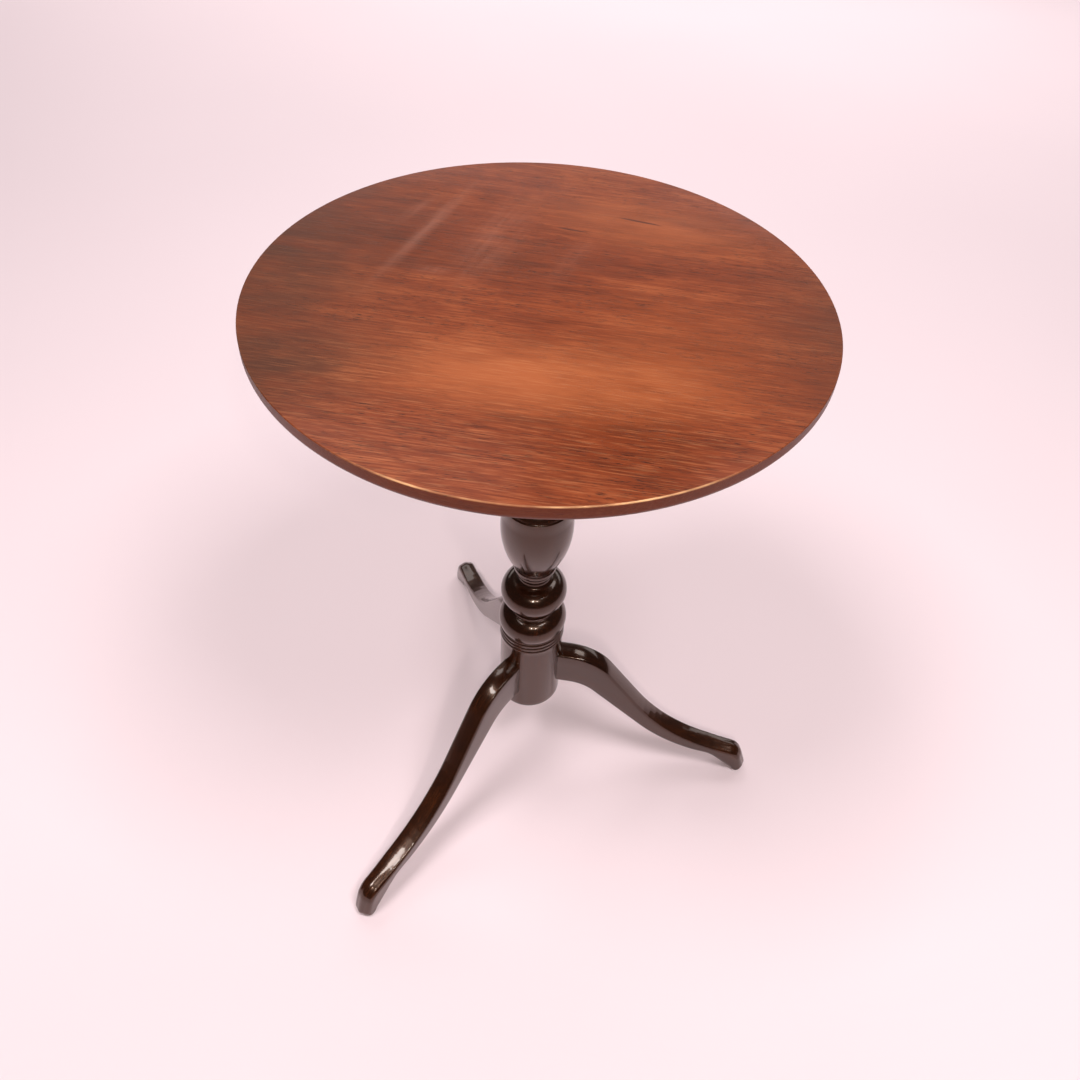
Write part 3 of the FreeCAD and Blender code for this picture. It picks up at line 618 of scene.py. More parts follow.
@dataclass(frozen=True)
class StudioPaint:
    """The floor's pale matt paint."""

    name: str = "floor_paint"
    colour: Colour = (0.94, 0.742, 0.762)
    cloud_size: Triple = (1.5, 1.5, 1.5)
    cloud_shade: float = 0.97
    roughness: float = 0.85
    gloss: float = 0.15

    def make(self) -> bpy.types.Material:
        """The floor's material, a little cloudy.

        Returns:
            The finished material.
        """
        bench = ShaderBench(self.name)
        cloud = bench.noise(Lay(), self.cloud_size, detail=2.0)
        shade = tuple(self.cloud_shade * part for part in self.colour)
        colour = bench.blend(bench.spread(cloud, 0.3, 0.7), self.colour, shade)
        return bench.finish(
            base_color=colour, roughness=self.roughness, specular_ior_level=self.gloss
        )


BOARD_POLISH = BoardPolish(
    name="faded_mahogany",
    deep=(0.074, 0.0115, 0.0030),
    middle=(0.186, 0.0310, 0.0070),
    pale=(0.345, 0.0840, 0.0250),
    pore=(0.034, 0.0065, 0.0026),
    pore_depth=0.85,
    fibre=(0.034, 0.0016, 0.0016),
    pores=(0.010, 0.0011, 0.0011),
    roughness=0.38,
    gloss=0.24,
    gloss_tint=(1.0, 0.76, 0.62),
    coat=0.08,
    coat_roughness=0.14,
)
DARK_POLISH = Mahogany(
    name="dark_polish",
    deep=(0.0110, 0.0024, 0.0010),
    middle=(0.0270, 0.0062, 0.0018),
    pale=(0.0680, 0.0160, 0.0034),
    pore=(0.0050, 0.0014, 0.0006),
    figure=(0.16, 0.010, 0.010),
    roughness=0.22,
    roughness_drift=0.05,
    coat=0.50,
    coat_roughness=0.03,
    gloss=0.55,
    gloss_tint=(1.0, 0.66, 0.50),
    pore_relief=0.00003,
    wave_relief=0.00006,
)
DRY_MAHOGANY = Mahogany(
    name="dry_mahogany",
    deep=(0.062, 0.026, 0.014),
    middle=(0.120, 0.050, 0.026),
    pale=(0.210, 0.100, 0.056),
    pore=(0.035, 0.014, 0.009),
    roughness=0.70,
    coat=0.0,
    pore_relief=0.00020,
)
AGED_BRASS = Metal(
    "aged_brass", (0.80, 0.56, 0.24), (0.30, 0.17, 0.07), 0.30, 0.26, (0.02, 0.0004, 0.02), 2e-5
)
TURNED_STEEL = Metal(
    "turned_steel", (0.52, 0.51, 0.49), (0.16, 0.13, 0.11), 0.25, 0.30, (0.0005, 0.02, 0.02), 2e-5
)
BLACK_IRON = Metal(
    "black_iron", (0.085, 0.078, 0.072), (0.075, 0.040, 0.024), 0.35, 0.48, (0.004,) * 3, 1.2e-4
)


# ---------------------------------------------------------------------------------------
# Outlines and meshes
# ---------------------------------------------------------------------------------------


class Profile:
    """A line of points in a plane, drawn with straight and round stretches, in metres."""

    ROUND_STEP = 6.0
    LONGEST_CHORD = 2.4

    def __init__(self, across: float, up: float) -> None:
        """Start the line at a point given in millimetres."""
        self.points: list[Vector] = [Vector((across, up)) * MM]

    def line(self, across: float, up: float) -> "Profile":
        """Go straight to a point."""
        self.points.append(Vector((across, up)) * MM)
        return self

    def arc(self, across: float, up: float, radius: float, side: int) -> "Profile":
        """Go round to a point.

        Args:
            across: the point's distance from the axis in millimetres.
            up: its height in millimetres.
            radius: the arc's radius in millimetres.
            side: +1 if the arc bulges to the left of its way, -1 to the right.

        Returns:
            This line.
        """
        start, end = self.points[-1], Vector((across, up)) * MM
        chord = end - start
        left = Vector((-chord.y, chord.x)).normalized()
        drop = math.sqrt(max((radius * MM) ** 2 - (chord.length / 2) ** 2, 0.0))
        centre = (start + end) / 2 - left * side * drop
        first, last = start - centre, end - centre
        sweep = -side * first.angle(last)
        by_turn = math.degrees(abs(sweep)) / self.ROUND_STEP
        by_length = abs(sweep) * radius / self.LONGEST_CHORD
        count = max(4, math.ceil(by_turn), math.ceil(by_length))
        for index in range(1, count + 1):
            turn = Matrix.Rotation(sweep * index / count, 2)
            self.points.append(centre + turn @ first)
        return self

    def eased(self, radius: float, least_turn: float = 25.0) -> "Profile":
        """Rub down the corners.

        Args:
            radius: how much is rubbed off each corner, in millimetres.
            least_turn: a smaller turn than this, in degrees, is left alone.

        Returns:
            This line.
        """
        kept = [self.points[0]]
        for before, here, after in zip(self.points, self.points[1:], self.points[2:]):
            back, on = before - here, after - here
            turn = 180.0 - math.degrees(back.angle(on))
            if turn < least_turn:
                kept.append(here)
                continue
            cut = min(radius * MM, 0.4 * back.length, 0.4 * on.length)
            first, last = here + back.normalized() * cut, here + on.normalized() * cut
            kept += [first, first * 0.25 + here * 0.5 + last * 0.25, last]
        self.points = kept + [self.points[-1]]
        return self

    def filled(self, step: float) -> "Profile":
        """Put points along the straight stretches.

        Args:
            step: how far apart they may be, in millimetres.

        Returns:
            This line.
        """
        full = [self.points[0]]
        for start, end in zip(self.points, self.points[1:]):
            count = max(1, math.ceil((end - start).length / (step * MM)))
            full += [start.lerp(end, index / count) for index in range(1, count + 1)]
        self.points = full
        return self


def rounded(corners: Sequence[Triple], step: float = 4.0) -> np.ndarray:
    """An open line whose inner corners are rounded.

    Args:
        corners: each corner as its two places and its rounding radius, in millimetres.
        step: the turn between two points of a round stretch, in degrees.

    Returns:
        The points as rows of two numbers, in metres.
    """
    points = [Vector(corners[0][:2])]
    for (*before, _), (*here, radius), (*after, _) in zip(corners, corners[1:], corners[2:]):
        corner = Vector(here)
        back, on = (Vector(before) - corner).normalized(), (Vector(after) - corner).normalized()
        half = back.angle(on) / 2
        start = corner + back * radius / math.tan(half)
        centre = corner + (back + on).normalized() * radius / math.sin(half)
        sweep = math.pi - 2 * half
        if back.x * on.y - back.y * on.x > 0:
            sweep = -sweep
        count = max(3, math.ceil(math.degrees(abs(sweep)) / step))
        for index in range(count + 1):
            points.append(centre + Matrix.Rotation(sweep * index / count, 2) @ (start - centre))
    points.append(Vector(corners[-1][:2]))
    return np.array([tuple(point) for point in points]) * MM


def resampled(line: np.ndarray, places: np.ndarray) -> np.ndarray:
    """Points along a line at fractions of its length.

    Args:
        line: the line's points, one a row.
        places: the fractions, from 0 to 1.

    Returns:
        The new points, one a row.
    """
    lengths = np.concatenate([[0.0], np.cumsum(np.linalg.norm(np.diff(line, axis=0), axis=1))])
    return np.column_stack(
        [np.interp(places * lengths[-1], lengths, line[:, axis]) for axis in range(line.shape[1])]
    )


def clean(mesh: bpy.types.Mesh, smooth_angle: float = 32.0) -> bpy.types.Mesh:
    """Merge a mesh's doubles, turn its faces outwards and shade it.

    Args:
        mesh: the mesh to finish.
        smooth_angle: an edge that turns more than this, in degrees, stays crisp.

    Returns:
        The same mesh.
    """
    work = bmesh.new()
    work.from_mesh(mesh)
    bmesh.ops.remove_doubles(work, verts=work.verts, dist=0.004 * MM)
    bmesh.ops.recalc_face_normals(work, faces=work.faces)
    work.to_mesh(mesh)
    work.free()
    mesh.shade_smooth()
    mesh.set_sharp_from_angle(angle=math.radians(smooth_angle))
    return mesh


def new_piece(name: str, mesh: bpy.types.Mesh) -> bpy.types.Object:
    """A piece of the table at the origin, with its place in its mesh.

    Args:
        name: the piece's name.
        mesh: its mesh, which takes the same name.

    Returns:
        The piece.
    """
    mesh.name = name
    piece = bpy.data.objects.new(name, mesh)
    bpy.context.collection.objects.link(piece)
    return piece


def evaluated(piece: bpy.types.Object) -> bpy.types.Mesh:
    """The plain mesh that a piece's modifiers make of it."""
    graph = bpy.context.evaluated_depsgraph_get()
    return bpy.data.meshes.new_from_object(piece.evaluated_get(graph), depsgraph=graph)


def settle(
    piece: bpy.types.Object, body: Body, slot: Slot, *nodes: str
) -> bpy.types.Object:
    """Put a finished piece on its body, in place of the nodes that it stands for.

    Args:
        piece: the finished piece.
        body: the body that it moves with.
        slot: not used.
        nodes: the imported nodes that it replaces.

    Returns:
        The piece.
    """
    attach(piece, body.value)
    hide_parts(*nodes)
    LOG.info("%s: %d faces, on %s", piece.name, len(piece.data.polygons), body.value)
    return piece


def islands(node: str) -> list[tuple[Vector, Vector]]:
    """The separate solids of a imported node.

    Args:
        node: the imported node.

    Returns:
        The lowest and highest corner of each solid, from -X to +X.
    """
    work = bmesh.new()
    work.from_mesh(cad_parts[node].data)
    bmesh.ops.remove_doubles(work, verts=work.verts, dist=0.01 * MM)
    waiting = set(work.verts)
    boxes = []
    while waiting:
        group, edge_of_group = set(), {waiting.pop()}
        while edge_of_group:
            vertex = edge_of_group.pop()
            group.add(vertex)
            near = {edge.other_vert(vertex) for edge in vertex.link_edges}
            edge_of_group |= near - group
        waiting -= group
        places = np.array([tuple(vertex.co) for vertex in group])
        boxes.append((Vector(places.min(axis=0)), Vector(places.max(axis=0))))
    work.free()
    return sorted(boxes, key=lambda box: tuple(box[0]))


def softened(
    node: str, body: Body, slot: Slot, finish: bpy.types.Material, width: float
) -> bpy.types.Object:
    """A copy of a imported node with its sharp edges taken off.

    Args:
        node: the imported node, which the copy replaces.
        body: the body that it moves with.
        slot: the record's slot for its finish.
        finish: its material.
        width: how wide the broken edges are, in millimetres.

    Returns:
        The piece.
    """
    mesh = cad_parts[node].data.copy()
    work = bmesh.new()
    work.from_mesh(mesh)
    bmesh.ops.remove_doubles(work, verts=work.verts, dist=0.01 * MM)
    bmesh.ops.dissolve_limit(
        work, angle_limit=math.radians(0.6), verts=work.verts, edges=work.edges
    )
    work.to_mesh(mesh)
    work.free()
    mesh.materials.clear()
    mesh.materials.append(finish)
    piece = new_piece(f"{node}_eased", mesh)
    bevel = piece.modifiers.new("broken_edges", "BEVEL")
    bevel.width = width * MM
    bevel.segments = 3
    bevel.limit_method = "ANGLE"
    bevel.angle_limit = math.radians(38.0)
    bevel.use_clamp_overlap = True
    bevel.harden_normals = False
    made = evaluated(piece)
    piece.modifiers.clear()
    piece.data = clean(made)
    piece.data.name = piece.name
    return settle(piece, body, slot, node)


# ---------------------------------------------------------------------------------------
# Geometry Nodes
# ---------------------------------------------------------------------------------------


class TreeBench:
    """Builds one Geometry Nodes tree, and runs it on a mesh to make a plain one."""

    def __init__(self, name: str) -> None:
        """Start a tree with a geometry in and a geometry out.

        Args:
            name: the tree's name.
        """
        self.tree = bpy.data.node_groups.new(name, "GeometryNodeTree")
        self.identifiers: dict[str, str] = {}
        for way in ("INPUT", "OUTPUT"):
            self.tree.interface.new_socket(
                "Geometry", in_out=way, socket_type="NodeSocketGeometry"
            )
        self.entry = self.tree.nodes.new("NodeGroupInput")
        self.exit = self.tree.nodes.new("NodeGroupOutput")

    def input(self, name: str, kind: str) -> bpy.types.NodeSocket:
        """A named input of the tree.

        Args:
            name: what it holds.
            kind: its socket's type, such as NodeSocketFloat.

        Returns:
            The socket that gives it inside the tree.
        """
        made = self.tree.interface.new_socket(name, in_out="INPUT", socket_type=kind)
        self.identifiers[name] = made.identifier
        return self.entry.outputs[name]

    def node(
        self, kind: str, inputs: dict[object, object] | None = None, **settings: object
    ) -> bpy.types.Node:
        """A node with its settings and its inputs linked or written.

        Args:
            kind: the node's type.
            inputs: for each input's name or number, a socket or a plain value.
            settings: the node's own properties.

        Returns:
            The node.
        """
        node = self.tree.nodes.new(kind)
        for name, value in settings.items():
            setattr(node, name, value)
        for name, value in (inputs or {}).items():
            if isinstance(value, bpy.types.NodeSocket):
                self.tree.links.new(value, node.inputs[name])
            else:
                node.inputs[name].default_value = value
        return node

    def sum(self, operation: str, first: object, second: object = 0.0) -> bpy.types.NodeSocket:
        """One step of arithmetic on two values."""
        return self.node("ShaderNodeMath", {0: first, 1: second}, operation=operation).outputs[0]

    def run(self, name: str, mesh: bpy.types.Mesh, **values: object) -> bpy.types.Mesh:
        """Run the tree once.

        Args:
            name: the piece's name.
            mesh: the mesh that goes in.
            values: the tree's inputs, named with underscores for spaces.

        Returns:
            The plain mesh that comes out.
        """
        piece = new_piece(name, mesh)
        modifier = piece.modifiers.new(self.tree.name, "NODES")
        modifier.node_group = self.tree
        for word, value in values.items():
            modifier[self.identifiers[word.replace("_", " ").capitalize()]] = value
        made = evaluated(piece)
        piece.modifiers.clear()
        bpy.data.objects.remove(piece)
        made.name = name
        return clean(made)


class Lathe(TreeBench):
    """Turns a profile once round the Z axis, and can cut petals into it with a V tool."""

    def __init__(self) -> None:
        """Build the tree."""
        super().__init__("lathe")
        stations = self.input("Stations", "NodeSocketInt")
        steps = self.input("Steps", "NodeSocketInt")
        start = self.input("Start", "NodeSocketFloat")
        petals = self.input("Petals", "NodeSocketInt")
        foot = self.input("Petal foot", "NodeSocketFloat")
        head = self.input("Petal head", "NodeSocketFloat")
        width = self.input("Petal width", "NodeSocketFloat")
        finish = self.input("Finish", "NodeSocketMaterial")
        under_height = self.input("Under height", "NodeSocketFloat")
        under_finish = self.input("Under finish", "NodeSocketMaterial")

        rows = self.sum("ADD", steps, 1.0)
        grid = self.node(
            "GeometryNodeMeshGrid",
            {"Size X": 1.0, "Size Y": 1.0, "Vertices X": stations, "Vertices Y": rows},
        )
        place = self.node("GeometryNodeInputPosition").outputs[0]
        parts = self.node("ShaderNodeSeparateXYZ", {0: place})
        last = self.sum("SUBTRACT", stations, 1.0)
        station = self.sum("MULTIPLY", self.sum("ADD", parts.outputs["X"], 0.5), last)
        sample = self.node(
            "GeometryNodeSampleIndex",
            {
                "Geometry": self.entry.outputs["Geometry"],
                "Value": self.node("GeometryNodeInputPosition").outputs[0],
                "Index": self.sum("ROUND", station),
            },
            data_type="FLOAT_VECTOR",
            domain="POINT",
        )
        drawn = self.node("ShaderNodeSeparateXYZ", {0: sample.outputs[0]})
        turn = self.sum("MULTIPLY", self.sum("ADD", parts.outputs["Y"], 0.5), math.tau)
        radius = self.carve(drawn, turn, petals, foot, head, width)
        angle = self.sum("ADD", turn, start)
        across = self.sum("MULTIPLY", radius, self.sum("COSINE", angle))
        deep = self.sum("MULTIPLY", radius, self.sum("SINE", angle))
        where = self.node("ShaderNodeCombineXYZ", {0: across, 1: deep, 2: drawn.outputs["Z"]})
        moved = self.node(
            "GeometryNodeSetPosition",
            {"Geometry": grid.outputs["Mesh"], "Position": where.outputs[0]},
        )
        closed = self.node(
            "GeometryNodeMergeByDistance",
            {"Geometry": moved.outputs[0], "Distance": 0.005 * MM},
        )
        real = self.node("GeometryNodeRealizeInstances", {"Geometry": closed.outputs[0]})
        here = self.node("GeometryNodeInputPosition").outputs[0]
        level = self.node("ShaderNodeSeparateXYZ", {0: here})
        low = self.node(
            "FunctionNodeCompare",
            {0: level.outputs["Z"], 1: under_height},
            data_type="FLOAT",
            operation="LESS_THAN",
        )
        dressed = self.node(
            "GeometryNodeSetMaterial", {"Geometry": real.outputs[0], "Material": finish}
        )
        under = self.node(
            "GeometryNodeSetMaterial",
            {
                "Geometry": dressed.outputs[0],
                "Selection": low.outputs[0],
                "Material": under_finish,
            },
        )
        self.tree.links.new(under.outputs[0], self.exit.inputs[0])

    def carve(
        self,
        drawn: bpy.types.Node,
        turn: bpy.types.NodeSocket,
        petals: bpy.types.NodeSocket,
        foot: bpy.types.NodeSocket,
        head: bpy.types.NodeSocket,
        width: bpy.types.NodeSocket,
    ) -> bpy.types.NodeSocket:
        """The radius after the V cuts between the petals.

        Args:
            drawn: the profile's point, split into its parts.
            turn: the angle round the axis from the first cut.
            petals: how many petals there are.
            foot: the height where the cuts are widest.
            head: the height where they run out.
            width: half the width of a cut at its foot.

        Returns:
            The carved radius.
        """
        radius = drawn.outputs["X"]
        sector = self.sum("DIVIDE", math.tau, petals)
        past = self.sum("FRACT", self.sum("ADD", self.sum("DIVIDE", turn, sector), 0.5))
        off = self.sum("ABSOLUTE", self.sum("SUBTRACT", past, 0.5))
        away = self.sum("MULTIPLY", self.sum("MULTIPLY", off, sector), radius)
        rise = self.node(
            "ShaderNodeMapRange",
            {
                "Value": drawn.outputs["Z"],
                "From Min": foot,
                "From Max": head,
                "To Min": width,
                "To Max": 0.0,
            },
        )
        above = self.sum("GREATER_THAN", drawn.outputs["Z"], foot)
        cut = self.sum("MAXIMUM", self.sum("SUBTRACT", rise.outputs[0], away), 0.0)
        return self.sum("SUBTRACT", radius, self.sum("MULTIPLY", cut, above))

    def turned(
        self,
        name: str,
        profile: Profile,
        steps: int,
        finish: bpy.types.Material,
        under_finish: bpy.types.Material | None = None,
        under_height: float = -1.0,
        start: float = 0.0,
        petals: int = 1,
        petal_span: Point = (0.0, 1.0),
        petal_width: float = 0.0,
    ) -> bpy.types.Mesh:
        """One turned piece.

        Args:
            name: the piece's name.
            profile: its half section, from the axis below to the axis above.
            steps: how many faces it has round its axis.
            finish: its material.
            under_finish: the material of what lies below under_height.
            under_height: a height in metres.
            start: the angle of the first cut in degrees.
            petals: how many petals are cut.
            petal_span: the heights between which the cuts run, in metres.
            petal_width: half the width of a cut at its foot, in metres.

        Returns:
            The turned mesh about the Z axis.
        """
        line = bpy.data.meshes.new(f"{name}_profile")
        line.from_pydata([(point.x, 0.0, point.y) for point in profile.points], [], [])
        return self.run(
            name,
            line,
            stations=len(profile.points),
            steps=steps,
            start=math.radians(start),
            petals=petals,
            petal_foot=petal_span[0],
            petal_head=petal_span[1],
            petal_width=petal_width,
            finish=finish,
            under_height=under_height,
            under_finish=under_finish or finish,
        )


class ScrewDriver(TreeBench):
    """Sets a screw at each point, with its slot left at a chance angle."""

    SEED = 7

    def __init__(self) -> None:
        """Build the tree."""
        super().__init__("screw_driver")
        screw = self.input("Screw", "NodeSocketObject")
        lean = self.input("Lean", "NodeSocketFloat")
        finish = self.input("Finish", "NodeSocketMaterial")
        shape = self.node("GeometryNodeObjectInfo", {"Object": screw, "As Instance": True})
        chance = self.node("FunctionNodeRandomValue", data_type="FLOAT")
        chance.inputs["Seed"].default_value = self.SEED
        chance.inputs[2].default_value = 0.0
        chance.inputs[3].default_value = math.pi
        spin = self.node("ShaderNodeCombineXYZ", {2: chance.outputs[1]})
        tip = self.node("ShaderNodeCombineXYZ", {0: lean})
        stood = self.node(
            "GeometryNodeInstanceOnPoints",
            {
                "Points": self.entry.outputs["Geometry"],
                "Instance": shape.outputs["Geometry"],
                "Rotation": tip.outputs[0],
            },
        )
        spun = self.node(
            "GeometryNodeRotateInstances",
            {"Instances": stood.outputs[0], "Rotation": spin.outputs[0], "Local Space": True},
        )
        real = self.node("GeometryNodeRealizeInstances", {"Geometry": spun.outputs[0]})
        dressed = self.node(
            "GeometryNodeSetMaterial", {"Geometry": real.outputs[0], "Material": finish}
        )
        self.tree.links.new(dressed.outputs[0], self.exit.inputs[0])


# ---------------------------------------------------------------------------------------
# The table
# ---------------------------------------------------------------------------------------


@dataclass
class Board:
    """The round top: a polished face, a crisp arris and a rounded under edge."""

    lathe: Lathe
    under_round: float = 7.0
    arris: float = 0.8
    inset: float = 0.02
    rings_under: tuple[float, ...] = (0.35, 0.80)
    rings_over: tuple[float, ...] = (0.90, 0.60, 0.25)
    steps: int = 360

    def profile(self) -> Profile:
        """The board's half section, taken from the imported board's own box.

        Returns:
            The line from the axis below to the axis above.
        """
        low, high = (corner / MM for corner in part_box("top_board"))
        radius = high.x - self.inset
        line = Profile(0.0, low.z)
        for share in self.rings_under:
            line.line(radius * share, low.z)
        line.line(radius - self.under_round, low.z)
        line.arc(radius, low.z + self.under_round, self.under_round, -1)
        line.line(radius, high.z - self.arris)
        line.arc(radius - self.arris, high.z, self.arris, -1)
        for share in self.rings_over:
            line.line(radius * share, high.z)
        return line.line(0.0, high.z)

    def build(self) -> None:
        """Make the board and put it on its body."""
        low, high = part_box("top_board")
        polish = replace(BOARD_POLISH, rim=high.x, face=high.z)
        mesh = self.lathe.turned(
            "board_face",
            self.profile(),
            self.steps,
            polish.make("board", Lay(start=(0.04, 0.31, 0.0))),
            under_finish=DRY_MAHOGANY.make("board_under", Lay(start=(0.3, 0.1, 0.0))),
            under_height=low.z + 0.2 * MM,
        )
        settle(new_piece("board_face", mesh), Body.BOARD, Slot.BOARD, "top_board")


@dataclass
class Column:
    """The turned column: drum, reeds, cushion, ball, fillets, petalled vase, neck and cap."""

    lathe: Lathe
    steps: int = 220
    drum: float = 37.0
    drum_foot: float = 121.0
    drum_head: float = 229.5
    reeds: int = 3
    drum_edge: float = 1.5
    reed: float = 4.6
    reed_gap: float = 1.2
    reed_round: float = 2.9
    cushion_inset: float = 0.5
    cushion_head: Point = (26.0, 276.0)
    cushion_round: float = 19.5
    collar_top: float = 279.0
    collar_step: Point = (23.0, 280.0)
    ball_foot: Point = (22.0, 287.6)
    ball_head: Point = (22.0, 324.4)
    ball_round: float = 18.6
    ball_step: Point = (19.5, 325.4)
    fillets: tuple[Point, Point] = ((19.8, 337.0), (22.9, 346.0))
    fillet_height: float = 4.0
    fillet_lip: float = 1.0
    hollow: float = 7.0
    vase_seat: Point = (24.8, 356.0)
    vase_foot: float = 356.5
    vase_foot_radius: float = 25.8
    vase_belly: Point = (38.3, 434.0)
    vase_round: float = 125.0
    vase_head: Point = (37.9, 449.5)
    vase_lip: Point = (36.5, 450.3)
    shoulder: Point = (24.0, 461.0)
    shoulder_round: float = 15.0
    shoulder_band: float = 2.0
    shoulder_step: Point = (22.0, 463.5)
    neck_foot: Point = (17.0, 482.0)
    neck_sweep: float = 30.0
    neck_head: Point = (14.5, 629.6)
    neck_ring: float = 16.0
    neck_ring_top: float = 638.4
    neck_ring_round: float = 4.6
    cap_neck: float = 15.0
    cap_flare: Point = (26.0, 657.0)
    cap_hollow: float = 14.0
    cap: float = 27.0
    cap_span: Point = (657.5, 664.0)
    tenon: float = 15.0
    petal_head: float = 389.0
    petals: int = 5
    petal_turn: float = 37.6
    petal_width: float = 3.2
    wear: float = 0.35

    def foot(self) -> Profile:
        """The drum, its reeds, the cushion and the collar over it.

        Returns:
            The line from the axis below to the collar.
        """
        line = Profile(0.0, self.drum_foot).line(self.drum - self.drum_edge, self.drum_foot)
        line.line(self.drum, self.drum_foot + self.drum_edge)
        pitch = self.reed + self.reed_gap
        for ring in range(self.reeds):
            level = self.drum_head + ring * pitch
            line.line(self.drum, level).arc(self.drum, level + self.reed, self.reed_round, -1)
        line.line(self.drum - self.cushion_inset, self.drum_head + self.reeds * pitch)
        line.arc(*self.cushion_head, self.cushion_round, -1)
        return line.line(self.cushion_head[0], self.collar_top).line(*self.collar_step)

    def rings(self, line: Profile) -> Profile:
        """The ball and the two fillets over it.

        Args:
            line: the section so far.

        Returns:
            The same line, up to the vase's seat.
        """
        line.line(*self.ball_foot).arc(*self.ball_head, self.ball_round, -1).line(*self.ball_step)
        for across, level in self.fillets:
            lip, top = across + self.fillet_lip, level + self.fillet_height
            line.arc(across, level, self.hollow, 1).line(lip, level)
            line.line(lip, top).line(across, top)
        return line.arc(*self.vase_seat, self.hollow, 1)

    def vase(self, line: Profile) -> Profile:
        """The vase and its shoulder.

        Args:
            line: the section so far.

        Returns:
            The same line, up to the foot of the neck's sweep.
        """
        line.line(self.vase_foot_radius, self.vase_foot)
        line.arc(*self.vase_belly, self.vase_round, -1).line(*self.vase_head)
        line.line(*self.vase_lip).arc(*self.shoulder, self.shoulder_round, -1)
        line.line(self.shoulder[0], self.shoulder[1] + self.shoulder_band)
        return line.line(*self.shoulder_step)

    def neck(self, line: Profile) -> Profile:
        """The neck, its ring, the cap under the block and the tenon through the block.

        Args:
            line: the section so far.

        Returns:
            The whole section.
        """
        line.arc(*self.neck_foot, self.neck_sweep, 1).line(*self.neck_head)
        line.line(self.neck_ring, self.neck_head[1])
        line.arc(self.neck_ring, self.neck_ring_top, self.neck_ring_round, -1)
        line.line(self.cap_neck, self.neck_ring_top).arc(*self.cap_flare, self.cap_hollow, 1)
        foot, head = self.cap_span
        line.line(self.cap, foot).line(self.cap, head).line(self.tenon, head)
        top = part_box("column")[1].z / MM
        return line.line(self.tenon, top).line(0.0, top)

    def build(self) -> None:
        """Turn and carve the column and put it on the base."""
        line = self.neck(self.vase(self.rings(self.foot()))).eased(self.wear).filled(6.0)
        mesh = self.lathe.turned(
            "turned_column",
            line,
            self.steps,
            DARK_POLISH.make("column", Lay(turn=(0.0, -90.0, 0.0), start=(0.0, 0.0, 0.12))),
            start=self.petal_turn,
            petals=self.petals,
            petal_span=(self.vase_foot * MM, self.petal_head * MM),
            petal_width=self.petal_width * MM,
        )
        settle(new_piece("turned_column", mesh), Body.BASE, Slot.DARK_WOOD, "column")


